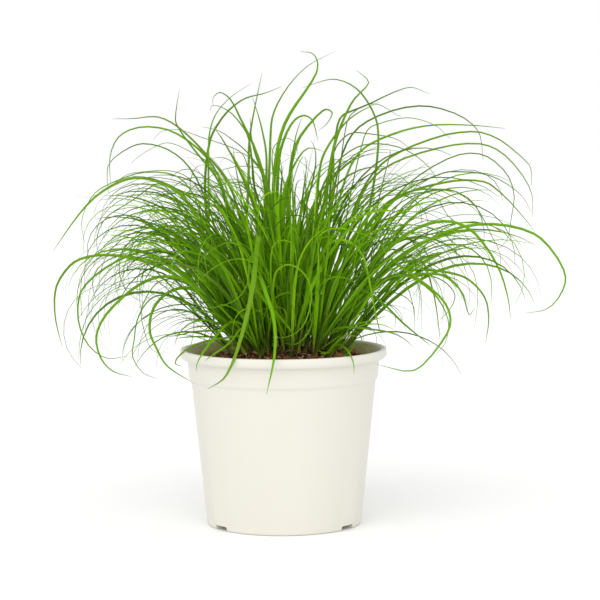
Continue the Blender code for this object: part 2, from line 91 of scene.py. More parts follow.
# The drainage grooves under the pot, and the hole in each
GROOVE_ANGLES = (-126.0, -54.0, 54.0, 126.0)
GROOVE_WIDTH = 11.0 * MM
GROOVE_HEIGHT = 2.8 * MM
GROOVE_INNER_RADIUS = 24.0 * MM
GROOVE_OVERRUN = 5 * MM
GROOVE_ROUNDING = 1.1 * MM
HOLE_RADIUS = 3.5 * MM
HOLE_RING_RADIUS = 31.0 * MM
HOLE_STEPS = 32

# The soil, mounded in the middle
SOIL_EDGE_DROP = 9.0 * MM
SOIL_MOUND = 7.5 * MM
SOIL_RINGS = 30
SOIL_STEPS = 120
SOIL_RADIUS = BAND_FOOT_RADIUS - WALL - TOUCH_GAP
SOIL_EDGE_HEIGHT = RIM_HEIGHT - SOIL_EDGE_DROP
SOIL_FOOT_GAP = 1.0 * MM

# The lumps in the soil's surface, coarse and fine: how many to a metre, a shift that
# keeps the two apart, and their height in millimetres. They are lower near the wall
SOIL_LUMPS = ((130.0, 0.0, 1.3), (420.0, 7.0 * MM, 0.7))
SOIL_FADE = 3 * MM
LEAST_LUMPS = 0.25

# The gap in front of the clump and behind it, kept clear of leaves for water to go in
GAP_HALF_WIDTH = 10.0 * MM
GAP_INNER_DEPTH = 42.5 * MM

# Bark on the soil: place, turn and tilt in degrees, then length, width and thickness
CHIP_LIFT = 0.8 * MM
BARK_CHIPS = (
    (41.0, -9.0, 78.0, 58.0, 9.0, 7.0, 2.2),
    (17.0, -31.0, 15.0, 20.0, 8.0, 5.0, 2.2),
    (5.5, -33.5, -8.0, 10.0, 6.5, 3.5, 1.6),
    (-28.0, -22.5, -35.0, 25.0, 7.5, 4.5, 2.0),
    (33.0, -19.0, 50.0, 32.0, 7.5, 4.5, 1.8),
)

# A flake of bark: how many sides it has, then its torn surface, with how many ridges there
# are to a metre, how much closer its layers lie, and how high it is in millimetres
FLAKE_SIDES = 11
FLAKE_GRAIN = 480.0
FLAKE_LAYERING = 2.5
FLAKE_RELIEF = 0.4

# The bits strewn on the soil, with ranges in millimetres. A crumb is stretched and lifted
# by shares of its size, and a splinter's width is a share of its length
LITTER_SEED = 7
LITTER_SHAPES = 8
CRUMB_SIZE = (0.7, 2.3)
CRUMB_STRETCH = (0.6, 1.1)
CRUMB_LIFT = 0.18
CRUMB_MARGIN = 0.4 * MM
SPLINTER_LENGTH = (2.4, 6.5)
SPLINTER_WIDTH = (0.35, 0.7)
SPLINTER_THICKNESS = (0.5, 1.1)
SPLINTER_LIFT = 0.9 * MM
SPLINTER_MARGIN = 0.5 * MM
FIBRE_SIDES = 4
FIBRE_SEGMENTS = 5
FIBRE_STEP = (0.9, 2.4)
FIBRE_LIFT = (0.3, 1.2)
FIBRE_HALF_WIDTH = (0.1, 0.24)
FIBRE_MARGIN = 9.0 * MM
ANY_TURN = 6.28

# The clump. Tilts and spreads are in degrees
SHOOT_COUNT = 46
CLUMP_CENTRE_X = 3.0 * MM
CLUMP_RADIUS = 35.0 * MM
CLUMP_FRONT_SHARE = 0.68
CLUMP_BACK_SHARE = 0.95
CLUMP_SEED = 210
GOLDEN_ANGLE = 137.508
RADIUS_JITTER = (0.94, 1.03)
ANGLE_JITTER = 0.08
STEM_RADIUS = 2.1 * MM
STEM_HEIGHT = 7.0 * MM
OUTER_TILT = 40.0
BACK_TILT_SHARE = 0.8
FRONT_TILT_SHARE = 0.45
LEAVES_PER_SHOOT = 3
LEAF_SEGMENTS = 7
LEADING_LEAF_SEGMENTS = 10
TAPER_POWER = 0.6
TIP_WIDTH = 0.5 * MM
LEAF_GAP = 0.5 * MM
ROUTE_STEP = 6.0 * MM
TEST_STEP = 3.0 * MM
BEND_WEIGHT = 30.0 * MM
WIDEST_LEAF = 4.0 * MM
STEM_ZONE = 16.0 * MM
POT_CLEARANCE = 0.8 * MM

# The rounded form that the plant's leaves fill, apart from those that stand out
SPREAD_CENTRE = (8.0 * MM, 0.0, 98.0 * MM)
SPREAD_LEFT = 136.0 * MM
SPREAD_RIGHT = 146.0 * MM
SPREAD_DEPTH = 112.0 * MM
SPREAD_HEIGHT = 128.0 * MM
SPREAD_POWER = 3.0
LOWEST_TIP = 86.0 * MM
MOST_TRIES = 160

# A leaf grown by chance: degrees from its shoot, millimetres long, degrees that it nods,
# the power by which it bends, degrees that it swirls, and millimetres wide. One that
# leans out to the side is longer and nods more, by up to about the two extras
LEAF_SPREAD = (4.0, 20.0)
LEAF_LENGTH = (95.0, 150.0)
MORE_LENGTH = 65.0
LEAF_NOD = (8.0, 48.0)
MORE_NOD = 85.0
LEAF_BEND = (1.2, 2.4)
LEAF_SWIRL = 35.0
LEAF_WIDTH = (2.0, 3.3)

# How far a leaf leans out counts in full from the first of these on. To find how much of
# that is sideways, it is taken as no less than the second
FULL_LEAN = 0.6
LEAST_LEAN = 0.2

# A listed leaf: how much it leans to its side of the stem, about how long its first
# step and the others are, and how far it may move forward or back where it must, in
# millimetres, tried in turn
SIDE_LEAN = 0.15
FIRST_STEP = 12.0 * MM
STEP_OUT = 25.0 * MM
DEPTH_SHIFTS = (0, -3, 3, -6, 6, -9, 9, -13, 13, -18, 18, -24, 24, -30, 30, -38, 38)

# The side of a stem that it grows from: how far back its root lies and its start leads, as
# shares of its tip's depth, how far a start leads that counts as one, in millimetres, and
# how much that counts beside the root's place
ROOT_DEPTH_SHARE = 0.4
WAY_DEPTH_SHARE = 0.8
WAY_LENGTH = 40
WAY_WEIGHT = 9.0

# Leaves that stand out from the clump, each listed in millimetres: where it roots along
# X, how far back its tip lies, its width, then points (x, z) along it
LEADING_LEAVES = (
    (-2, -4, 2.6, ((-7, 205), (-6, 234), (1, 250), (14, 265), (31, 274))),
    (2, 8, 2.8, ((-5, 213), (4, 237), (13, 250), (20, 261), (21, 268), (18, 273), (11, 274))),
    (30, 12, 1.9, ((50, 180), (57, 217), (55, 234), (47, 249), (38, 256), (28, 258), (12, 253))),
    (12, -14, 2.6, ((27, 208), (33, 229), (41, 246), (50, 256), (43, 263))),
    (14, 16, 2.2, ((32, 233), (50, 243), (67, 251), (76, 253), (86, 249))),
    (-4, 22, 2.6, ((-3, 205), (1, 223), (7, 234), (13, 237), (18, 234), (21, 222))),
    (4, -22, 2.8, ((3, 200), (8, 221), (18, 235), (25, 241), (29, 239), (26, 233), (21, 229))),
    (-16, -6, 2.2, ((-19, 205), (-19, 219), (-17, 234), (-11, 262))),
    (-9, 16, 2.0, ((-9, 211), (-12, 231), (-17, 248))),
    (-3, -12, 2.6, (
        (-6, 190), (-15, 218), (-24, 237), (-29, 247),
        (-35, 251), (-39, 248), (-39, 243),
    )),
    (-8, 26, 1.8, ((-19, 222), (-27, 236), (-35, 242), (-41, 243), (-42, 240))),
    (-30, 14, 1.9, ((-46, 188), (-43, 220), (-34, 237), (-22, 247), (-10, 250), (0, 254))),
    (-28, -16, 1.8, ((-42, 222), (-38, 238), (-28, 249), (-17, 256))),
    (-14, -20, 2.0, ((-32, 194), (-49, 217), (-60, 233), (-60, 241), (-58, 252))),
    (-12, 8, 2.2, ((-27, 194), (-42, 213), (-60, 231), (-72, 237), (-86, 236), (-98, 236))),
    (-14, 24, 2.0, (
        (-34, 203), (-50, 221), (-66, 229), (-82, 231),
        (-95, 226), (-101, 214), (-101, 198),
    )),
    (-20, 34, 1.6, ((-50, 205), (-66, 217), (-82, 221), (-93, 217), (-103, 208), (-103, 192))),
    (-24, -12, 3.4, ((-52, 190), (-78, 204), (-94, 200), (-108, 191), (-120, 177), (-131, 161))),
    (-26, -28, 2.8, (
        (-49, 140), (-66, 151), (-84, 158), (-102, 161),
        (-118, 156), (-129, 142), (-130, 124), (-126, 107),
    )),
    (-25, 12, 2.0, (
        (-58, 160), (-84, 161), (-105, 151), (-117, 138),
        (-120, 121), (-115, 105), (-104, 96), (-92, 97),
    )),
    (-24, -40, 2.6, (
        (-56, 148), (-80, 146), (-98, 129), (-106, 115),
        (-104, 102), (-97, 94), (-86, 91),
    )),
    (30, -10, 3.2, (
        (58, 150), (86, 169), (105, 177), (122, 177), (138, 173),
        (152, 163), (163, 145), (160, 133), (152, 125), (140, 123),
    )),
    (26, -26, 3.2, (
        (62, 165), (90, 179), (104, 175), (115, 164),
        (124, 149), (129, 132), (130, 121),
    )),
    (24, 20, 2.8, ((60, 186), (90, 197), (117, 198), (128, 191), (141, 177), (148, 168))),
    (18, 30, 2.2, (
        (50, 205), (80, 221), (111, 227), (126, 223),
        (138, 214), (146, 206), (147, 195),
    )),
    (20, -18, 2.0, (
        (46, 200), (76, 216), (110, 221), (124, 217),
        (136, 205), (143, 192), (143, 179),
    )),
    (16, 4, 2.2, ((40, 214), (60, 225), (84, 231), (110, 231), (129, 229))),
    (14, 40, 1.8, (
        (36, 226), (60, 238), (82, 242), (98, 239),
        (110, 233), (117, 225), (119, 210),
    )),
    (28, 6, 2.4, ((62, 145), (86, 148), (104, 144), (117, 132), (120, 118), (118, 104))),
    (30, 22, 2.8, ((56, 160), (78, 166), (92, 163), (103, 155), (109, 141))),
    (30, -34, 2.6, ((52, 142), (76, 148), (92, 146), (102, 137), (106, 124), (109, 128))),
    (22, -38, 2.8, ((48, 140), (68, 149), (84, 139), (94, 122), (92, 108), (84, 100))),
    (-8, -58, 4.0, ((-12, 160), (-13, 172), (-17, 140), (-24, 112), (-32, 93), (-42, 87))),
    (-8, -66, 2.8, (
        (-15, 140), (-13, 148), (-9, 138), (-5, 126),
        (-4, 113), (-5, 102), (-9, 85),
    )),
)

# Finer leaves, listed in the same way
FINE_LEAVES = (
    (-18, -30, 1.3, ((-52, 202), (-74, 207), (-95, 201), (-107, 194), (-114, 179), (-112, 166))),
    (-20, 18, 1.2, ((-50, 196), (-78, 202), (-92, 197), (-104, 191), (-110, 182), (-107, 167))),
    (-22, -8, 1.2, ((-66, 200), (-88, 188), (-100, 181), (-106, 172), (-107, 162), (-103, 155))),
    (-16, 30, 0.9, ((-50, 200), (-88, 204), (-100, 197), (-112, 190), (-121, 190))),
    (-24, -20, 1.3, (
        (-60, 150), (-82, 158), (-94, 158), (-104, 153),
        (-109, 144), (-107, 133), (-105, 136),
    )),
    (-10, 30, 0.9, ((-20, 212), (-31, 219), (-49, 225), (-60, 229), (-71, 228), (-76, 223))),
    (-14, 10, 0.9, ((-38, 205), (-54, 217), (-66, 222), (-75, 219), (-82, 215), (-88, 210))),
    (-26, -34, 1.2, (
        (-50, 128), (-70, 138), (-82, 128), (-85, 111),
        (-86, 101), (-80, 92), (-72, 89),
    )),
    (-26, 20, 1.1, (
        (-52, 140), (-72, 144), (-83, 126), (-82, 113),
        (-78, 101), (-72, 98), (-68, 101),
    )),
    (-24, -44, 2.6, (
        (-40, 132), (-54, 142), (-69, 137), (-76, 128),
        (-76, 116), (-72, 107), (-66, 97), (-50, 87),
    )),
    (-22, -36, 1.6, ((-34, 114), (-49, 115), (-60, 113), (-66, 113))),
    (-18, -44, 1.8, ((-36, 110), (-46, 110), (-54, 106), (-60, 101), (-61, 98), (-57, 97))),
    (22, 30, 1.0, ((38, 233), (47, 242), (57, 243), (67, 237), (70, 236))),
    (20, 24, 1.1, ((48, 226), (64, 234), (77, 235), (91, 230), (96, 225), (99, 223))),
    (24, 10, 1.4, (
        (60, 190), (85, 205), (99, 216), (111, 216), (122, 211), (131, 202),
        (135, 190), (133, 176), (131, 164), (122, 156),
    )),
    (22, -22, 1.5, (
        (60, 188), (90, 204), (102, 205), (114, 204),
        (125, 200), (137, 191), (142, 182),
    )),
    (24, 16, 1.1, ((60, 186), (88, 194), (102, 188), (108, 185), (115, 179), (117, 171))),
    (26, -14, 1.2, (
        (58, 182), (82, 195), (96, 195), (111, 185),
        (120, 168), (125, 158), (125, 149),
    )),
    (24, 26, 1.0, ((70, 184), (90, 188), (96, 179), (101, 173), (101, 165), (97, 158))),
    (28, -18, 1.2, (
        (48, 138), (64, 146), (79, 146), (86, 145),
        (94, 141), (99, 134), (96, 126), (90, 120),
    )),
    (26, -30, 1.5, ((50, 142), (74, 158), (77, 143), (79, 136), (79, 121), (79, 113))),
    (28, -24, 1.9, ((52, 146), (79, 155), (85, 141), (88, 127), (90, 108))),
    (24, -40, 2.2, ((40, 138), (53, 135), (67, 121), (84, 107))),
    (22, -34, 1.9, ((26, 112), (35, 117), (47, 120), (59, 124))),
    (20, -46, 1.9, ((24, 112), (31, 118), (45, 117), (60, 115), (68, 112), (74, 107))),
    (24, 8, 1.0, ((40, 128), (56, 135), (70, 132), (76, 126), (77, 120))),
    (26, -12, 1.0, ((40, 122), (53, 126), (60, 125), (65, 121), (64, 115))),
    (18, -36, 2.3, ((22, 162), (36, 166), (45, 155), (51, 136), (53, 124), (56, 113))),
    (20, -48, 2.0, (
        (60, 156), (67, 152), (85, 139), (93, 130),
        (95, 120), (90, 110), (74, 94), (53, 98),
    )),
    (6, -34, 1.7, (
        (-1, 138), (3, 148), (10, 147), (16, 138), (18, 127),
        (15, 115), (8, 108), (0, 109),
    )),
    (-2, -30, 1.5, ((-6, 140), (-16, 150), (-18, 160), (-13, 166))),
    (-6, -16, 2.4, ((-14, 180), (-19, 194), (-26, 210), (-33, 223), (-39, 232))),
    (-2, 6, 1.3, ((-11, 202), (-20, 216), (-28, 223), (-37, 229), (-46, 231))),
    (2, -20, 2.8, ((-1, 179), (2, 197), (8, 211), (15, 219), (24, 217))),
    (16, -16, 2.8, ((25, 170), (29, 192), (30, 217))),
    (-14, -18, 1.7, ((-20, 180), (-25, 200), (-28, 221))),
    (18, 10, 1.4, ((27, 208), (38, 226), (53, 226), (67, 223), (76, 216))),
    (16, -6, 1.3, ((22, 200), (36, 216), (52, 221), (70, 218), (84, 208), (91, 197))),
    (-2, -26, 0.8, ((-5, 206), (-5, 219), (2, 225), (8, 222), (9, 216))),
    (10, -10, 2.2, ((21, 205), (25, 217), (33, 229), (41, 237), (56, 245))),
    (-4, -8, 2.0, ((-6, 190), (-12, 206), (-17, 222), (-18, 236))),
    (-14, -38, 3.0, ((-12, 160), (-12, 175), (-17, 140), (-21, 112))),
)

# Leaves that curl in front of the clump, by the rim or over it, listed in millimetres:
# the width, then points (x, y, z) from the clump to the tip
NEAR_LEAVES = (
    (1.6, (
        (-5, -34, 128), (-4.1, -45, 149), (-0.5, -49, 153.6), (3.7, -50, 155), (9.3, -51, 152.8),
        (14.2, -51, 147), (16.3, -51, 139.8), (15.5, -50, 131), (12.7, -49, 122.4),
        (7.9, -48, 116.6), (0.9, -47, 113.7), (-6.1, -46, 113.7),
    )),
    (1.7, (
        (20, -26, 150), (25, -36, 163), (30.4, -40, 168), (38.9, -41, 166.4), (44.5, -41, 160.6),
        (47.3, -41, 153.4), (49.4, -41, 143.2), (51.6, -40, 130.2), (54.4, -40, 117.1),
    )),
    (1.4, (
        (14, -30, 150), (18, -38, 166), (24, -42, 173), (31.8, -42, 174.8), (40.3, -42, 173),
        (48.7, -42, 170.1), (55.5, -42, 165.5), (60, -42, 156.8),
    )),
    (1.2, (
        (-8, -26, 120), (-13, -36, 150), (-16, -42, 160), (-18.5, -44, 156.5), (-19.2, -44, 144.9),
        (-24.4, -43, 136.2), (-34.3, -42, 131.2), (-44.2, -42, 130.4), (-52.6, -42, 134.7),
    )),
    (1.3, (
        (-6, -32, 130), (-6.5, -43, 155), (-4.7, -46, 165.7), (0.9, -47, 168.5),
        (6.5, -47, 165.7), (7.9, -47, 158.4), (8.1, -47, 149.7),
    )),
    (1.9, ((24, -18, 101), (29, -21, 106), (35, -25, 112), (43, -28, 112))),
    (1.2, ((30, -12, 104), (35, -15, 112), (41, -20, 116), (46, -22, 116), (44, -25, 114.5))),
    (1.3, ((34, -15, 106), (41, -19, 114), (45, -22, 110.5), (44.7, -24, 105.5))),
    (1.5, ((33, -18, 99), (38, -21, 102.5), (42, -24, 109))),
    (1.7, ((26, -22, 102), (31, -32, 108), (36.5, -46, 106), (39.5, -51, 100), (40, -51, 93.5))),
    (1.6, (
        (-26, -8, 103), (-36, -12, 109.8), (-47, -15, 111),
        (-56, -18, 111.2), (-61.5, -20, 110.5),
    )),
    (1.3, ((-28, -4, 106), (-39, -8, 115.7), (-51, -12, 116.2), (-57.4, -14, 114))),
    (2.4, (
        (-16, -20, 104), (-22, -24, 118), (-30, -31, 121), (-38, -42, 114),
        (-44, -50, 107), (-48, -53, 100), (-48.7, -53, 95.5),
    )),
    (1.6, (
        (-14, -22, 104), (-23, -28, 117), (-28, -36, 112),
        (-33, -44, 108), (-40, -49, 104), (-44, -52, 101),
    )),
    (1.5, (
        (-20, -12, 104), (-32, -14, 116), (-44, -18, 121),
        (-54, -22, 119), (-60, -24, 113), (-62, -25, 107),
    )),
    (1.3, ((22, -16, 104), (34, -16, 112), (46, -14, 117), (57, -12, 117), (66, -12, 113))),
)

# Finer leaves drawn by chance, by kind. How many a shoot has of each, from the middle of
# the clump to its edge, then ranges: degrees from the shoot, millimetres up the stem and
# long, degrees that it nods, the share that stays straight, millimetres wide, and tone.
# A leaf that leans out to the side is longer and nods more, by up to the two extras
Kind = namedtuple(
    "Kind", "inner outer spread height length more_length nod more_nod straight width tone"
)
KINDS = (
    Kind(
        9, 7, (0, 18), (1, 26), (85, 145), 40, (15, 75), 150,
        (0.15, 0.45), (1.3, 2.6), (0.05, 0.95),
    ),
    Kind(
        2, 5, (16, 50), (0, 8), (45, 95), 10, (30, 100), 70,
        (0.0, 0.2), (1.0, 2.0), (0.0, 0.7),
    ),
    Kind(
        1, 3, (8, 40), (4, 30), (105, 150), 25, (60, 110), 120,
        (0.2, 0.45), (0.9, 1.5), (0.0, 0.6),
    ),
    Kind(
        7, 3, (0, 10), (0, 12), (55, 105), 0, (3, 45), 10,
        (0.0, 0.4), (1.8, 3.2), (0.0, 1.0),
    ),
)

# The same for every kind: the power by which it bends, degrees that it swirls, the lean
# that counts as full, and millimetres from the stem's axis. One that leans far out to the
# side is narrower and darker by up to these shares
FINE_BEND = (0.9, 1.7)
FINE_SWIRL = 100.0
FINE_FULL_LEAN = 0.5
FINE_OFFSET = 0.9
FINE_NARROWING = 0.4
FINE_DARKENING = 0.2

# Where they may grow: the share that is kept of those that end beyond a side, how high
# they reach, and the front of the pot that they keep off
SIDE = 45.0 * MM
LEFT_SHARE = 0.85
RIGHT_SHARE = 0.45
FINE_TRIES = 30
FINE_TEST_SEGMENTS = 30
FINE_HEIGHT_LEFT = 126.0 * MM
FINE_HEIGHT_RIGHT = 142.0 * MM
FRONT_DEPTH = -30.0 * MM
FRONT_HEIGHT = 117.0 * MM

# How every leaf is drawn
SHOOT_SEED = 900
BLADE_SIDES = 4
BLADE_SEGMENTS = 14
LONG_BLADE_SEGMENTS = 28
BLADE_FOLD = 0.45
BLADE_THICKNESS_SHARE = 0.11
BLADE_TIP = 0.2 * MM
BLADE_UV = "Blade"
TINT_UV = "Tint"

# The stem's wrapped base: how many millimetres it starts under the soil, how wide it is
# there and by how much it narrows, against the stem, and the share of a leaf's length
# whose colours it has
SHEATH_SIDES = 6
SHEATH_SEGMENTS = 5
SHEATH_HEIGHT = 26.0 * MM
SHEATH_DEPTH = 2.5
SHEATH_FOOT_SHARE = 0.55
SHEATH_TAPER = 0.4
SHEATH_SHARE = 0.16

# A leaf's form: the share of its width that its foot has, how far along it is full, and
# the power by which it narrows to its tip. Then how much it twists, in degrees
GROWN_FORM = (0.4, 0.2, 2.2)
GROWN_TWIST = 70.0
DRAWN_FORM = (0.3, 0.4, 5.0)
DRAWN_TWIST = 30.0

# A listed leaf faces the viewer, and holds to that where its line turns. It is narrower
# than its solid, and more so far out, where it is also more olive. A wide one is
# lighter, and so is one near the viewer, which roots some millimetres up its stem
VIEWER = Vector((0.0, -1.0, 0.0))
STEADINESS = 0.4
DRAWN_WIDTH_SHARE = 0.82
FAR_NARROWING = 0.25
FAR_HUE = 0.7
DRAWN_TONE = (0.1, 0.35)
NEAR_TONE = 0.35
NEAR_ROOT_HEIGHT = 4.0
TONE_BY_WIDTH = 60.0

# How the bend low down in such a leaf is drawn out, unless it comes as near as this
EASED_SHARE = 0.7
EASING_GROWTH = 5.0
MOST_EASING = 0.5
EASING_STEPS = 45
NEAR_DEPTH = -45.0 * MM

# The camera: a long lens at about the height of the tallest leaves
CAMERA_X = 9.885 * MM
CAMERA_BACK = 1.4195
CAMERA_HEIGHT = 0.2625
AIM_HEIGHT = 130.46 * MM
CAMERA_ROLL = -0.0067
SENSOR_WIDTH = 36.0

# The floor, and the main light: the way to it, and how wide it is in degrees
FLOOR_RADIUS = 4.0
FLOOR_STEPS = 96
KEY_WAY = (-0.14, -0.72, 0.66)
KEY_SPREAD = 70.0
WHITE = (1.0, 1.0, 1.0, 1.0)


# Shared with the plain solids: where the leaves grow


def outer_radius_at(height):
    """The pot's outside radius at a height."""
    if height > RIM_HEIGHT - LIP_DEPTH:
        return RIM_RADIUS
    if height > BAND_FOOT_HEIGHT:
        return BAND_TOP_RADIUS
    share = max(height, 0.0) / BAND_FOOT_HEIGHT
    return BASE_RADIUS + (BODY_TOP_RADIUS - BASE_RADIUS) * share


def soil_height_at(radius):
    share = min(radius / SOIL_RADIUS, 1.0)
    return SOIL_EDGE_HEIGHT + SOIL_MOUND * (1.0 - share * share)


def chip_place(chip):
    """Where a bark chip's middle lies: on the soil, raised by its tilt."""
    x, y, _, tilt, _, width, thickness = chip
    radius = math.hypot(x, y) * MM
    slope = math.radians(tilt)
    lift = (width * math.sin(slope) + thickness * math.cos(slope)) / 2 * MM
    return Vector((x * MM, y * MM, soil_height_at(radius) + lift + CHIP_LIFT))


def smooth_run(points):
    """A smooth line through the points, bent at each as its neighbours lead."""
    slopes = []
    for index, point in enumerate(points):
        before = points[max(index - 1, 0)]
        after = points[min(index + 1, len(points) - 1)]
        reach = (point - before).length + (after - point).length
        slopes.append((after - before) / reach)
    run = [points[0]]
    for index in range(len(points) - 1):
        start, end = points[index], points[index + 1]
        third = (end - start).length / 3
        steps = max(3, round(3 * third / ROUTE_STEP)) + 1
        piece = interpolate_bezier(
            start, start + slopes[index] * third, end - slopes[index + 1] * third, end, steps
        )
        run += piece[1:]
    return run


class Shoot:
    """A shoot's place: its foot on the soil, the way it leans and its three sides."""

    def __init__(self, index, rng):
        share = (index + 0.5) / SHOOT_COUNT
        radius = CLUMP_RADIUS * math.sqrt(share) * rng.uniform(*RADIUS_JITTER)
        angle = index * math.radians(GOLDEN_ANGLE) + rng.uniform(-ANGLE_JITTER, ANGLE_JITTER)
        x = CLUMP_CENTRE_X + radius * math.cos(angle)
        y = radius * math.sin(angle)
        y *= CLUMP_BACK_SHARE if y > 0 else CLUMP_FRONT_SHARE
        lean = Vector((math.cos(angle), math.sin(angle), 0.0)) * radius / CLUMP_RADIUS
        lean.y *= BACK_TILT_SHARE if y > 0 else FRONT_TILT_SHARE
        tilt = math.radians(OUTER_TILT) * lean.length
        self.index = index
        self.axis = lean.normalized() * math.sin(tilt) + Vector((0.0, 0.0, math.cos(tilt)))
        rise = TOUCH_GAP + STEM_RADIUS * math.sin(tilt)
        self.foot = Vector((x, y, soil_height_at(math.hypot(x, y)) + rise))
        self.spin = rng.uniform(0.0, 2 * math.pi)
        self.upright = Vector((0.0, 0.0, 1.0)).rotation_difference(self.axis).to_matrix()

    def facing(self, angle):
        """The direction square to the stem's axis at an angle round it."""
        return self.upright @ Vector((math.cos(angle), math.sin(angle), 0.0))

    def side(self, number):
        """The direction that one of the stem's sides faces."""
        return self.facing(self.spin + number * 2 * math.pi / LEAVES_PER_SHOOT)

    def leaf_start(self, number):
        """The middle of a side of the stem."""
        return (
            self.foot
            + self.axis * (STEM_HEIGHT / 3)
            + self.side(number) * (STEM_RADIUS * math.cos(math.pi / 3) * 2 / 3)
        )


class Leaf:
    """A leaf: the shoot and side that it grows from, its width, and sections along it."""

    def __init__(self, shoot, number, run, width, segments=LEAF_SEGMENTS):
        self.shoot = shoot
        self.number = number
        self.run = run
        self.width = width
        self.stations = even_bends(run, segments)
        self.shares = shares_along(self.stations)

    def width_at(self, share):
        """Narrowing slowly from the stem to a long thin tip."""
        return TIP_WIDTH + (self.width - TIP_WIDTH) * (1.0 - share) ** TAPER_POWER


def even_bends(run, segments):
    """Sections along a line, closer together where it bends."""
    line = np.array(run)
    steps = np.diff(line, axis=0)
    lengths = np.linalg.norm(steps, axis=1)
    ways = steps / lengths[:, None]
    turns = np.arccos(np.clip((ways[1:] * ways[:-1]).sum(axis=1), -1.0, 1.0))
    bend = np.cumsum(lengths + BEND_WEIGHT * np.append(0.0, turns))
    bend = np.append(0.0, bend)
    marks = np.linspace(0.0, bend[-1], segments + 1)
    return np.stack([np.interp(marks, bend, line[:, axis]) for axis in range(3)], axis=1)


def shares_along(stations):
    """How far along the line each section lies, from 0 to 1."""
    lengths = np.append(0.0, np.cumsum(np.linalg.norm(np.diff(stations, axis=0), axis=1)))
    return lengths / lengths[-1]


def test_points(leaf):
    """Points along the faceted leaf, and half its width at each, for finding clashes."""
    lengths = np.linalg.norm(np.diff(leaf.stations, axis=0), axis=1)
    shares = np.linspace(0.0, 1.0, math.ceil(lengths.sum() / TEST_STEP))
    points = np.stack(
        [np.interp(shares, leaf.shares, leaf.stations[:, axis]) for axis in range(3)], axis=1
    )
    return points, leaf.width_at(shares) / 2


def clear_of_pot(points, halves):
    """False if a point is in the pot's wall, under its lip, in the soil or on a chip."""
    reach = halves + POT_CLEARANCE
    radius = np.hypot(points[:, 0], points[:, 1])
    height = points[:, 2]
    wall = np.array([outer_radius_at(z) for z in height + reach])
    outside = radius > wall + reach
    over = height > RIM_HEIGHT + reach
    in_gap = (abs(points[:, 0]) < GAP_HALF_WIDTH) & (abs(points[:, 1]) > GAP_INNER_DEPTH)
    inside = radius < BAND_FOOT_RADIUS - WALL - reach
    share = np.minimum(radius / SOIL_RADIUS, 1.0)
    above_soil = height > SOIL_EDGE_HEIGHT + SOIL_MOUND * (1.0 - share**2) + reach
    clear = over | outside | (inside & above_soil & ~in_gap)
    if not clear[2:].all():
        return False
    for chip in BARK_CHIPS:
        away = np.linalg.norm(points - np.array(chip_place(chip)), axis=1)
        if (away < chip[4] / 2 * MM + reach).any():
            return False
    return True


def within_spread(points, height=SPREAD_HEIGHT):
    """True if the line stays in the form that the plant's leaves fill."""
    x, y, z = (points - np.array(SPREAD_CENTRE)).T
    reach = np.where(x < 0, SPREAD_LEFT, SPREAD_RIGHT)
    full = abs(x / reach) ** SPREAD_POWER + abs(y / SPREAD_DEPTH) ** SPREAD_POWER
    full += abs(z / height) ** SPREAD_POWER
    return full.max() < 1.0 and points[:, 2].min() > LOWEST_TIP


class Clump:
    """The leaves placed so far, and the test that a new one keeps clear of them."""

    def __init__(self):
        self.leaves = []
        self.points = []
        self.halves = []
        self.owners = []
        self.tree = None

    def fits(self, leaf):
        points, halves = test_points(leaf)
        if not clear_of_pot(points, halves):
            return False
        if self.tree is None:
            return True
        foot = np.array(leaf.shoot.foot)
        widest = WIDEST_LEAF / 2
        slack = (TEST_STEP / 2) ** 2
        for point, half in zip(points, halves):
            near_stem = np.linalg.norm(point - foot) < STEM_ZONE
            for _, index, away in self.tree.find_range(point, half + widest + 2 * LEAF_GAP):
                if near_stem and self.owners[index] == leaf.shoot.index:
                    continue
                least = half + self.halves[index] + LEAF_GAP
                if away * away < least * least + slack:
                    return False
        return True

    def add(self, leaf):
        points, halves = test_points(leaf)
        self.leaves.append(leaf)
        self.points.extend(points.tolist())
        self.halves.extend(halves.tolist())
        self.owners.extend([leaf.shoot.index] * len(points))
        self.tree = KDTree(len(self.points))
        for index, point in enumerate(self.points):
            self.tree.insert(point, index)
        self.tree.balance()


def leading_run(shoot, number, depth, points):
    """The line of a listed leaf, from its stem through its points."""
    start = shoot.leaf_start(number)
    rise = points[0][1] * MM - start.z
    lean = (shoot.axis + shoot.side(number) * SIDE_LEAN).normalized()
    run = [start, start + lean * FIRST_STEP]
    for index, (x, z) in enumerate(points):
        share = (rise + index * STEP_OUT) / (rise + len(points) * STEP_OUT)
        run.append(Vector((x * MM, start.y + (depth * MM - start.y) * share, z * MM)))
    return smooth_run(run)


def free_side(slots, root_x, depth, first_x):
    """The free side of a shoot that best suits a leaf's root and the way it goes."""
    heading = Vector((first_x - root_x, WAY_DEPTH_SHARE * depth, 0.0)) / WAY_LENGTH

    def misfit(slot):
        shoot, number = slot
        ahead = shoot.foot.y / MM - ROOT_DEPTH_SHARE * depth
        away = math.hypot(shoot.foot.x / MM - root_x, ahead)
        return away - WAY_WEIGHT * shoot.side(number).dot(heading)

    return min(slots, key=misfit)


def place_leading_leaves(clump, slots):
    """Grows each listed leaf, a little further forward or back where it must be."""
    for root_x, depth, width, points in LEADING_LEAVES:
        slot = free_side(slots, root_x, depth, points[0][0])
        for shift in DEPTH_SHIFTS:
            run = leading_run(*slot, depth + shift, points)
            leaf = Leaf(*slot, run, width * MM, LEADING_LEAF_SEGMENTS)
            if clump.fits(leaf):
                break
        else:
            raise RuntimeError(f"no room for the leaf that ends at {points[-1]}")
        slots.remove(slot)
        clump.add(leaf)


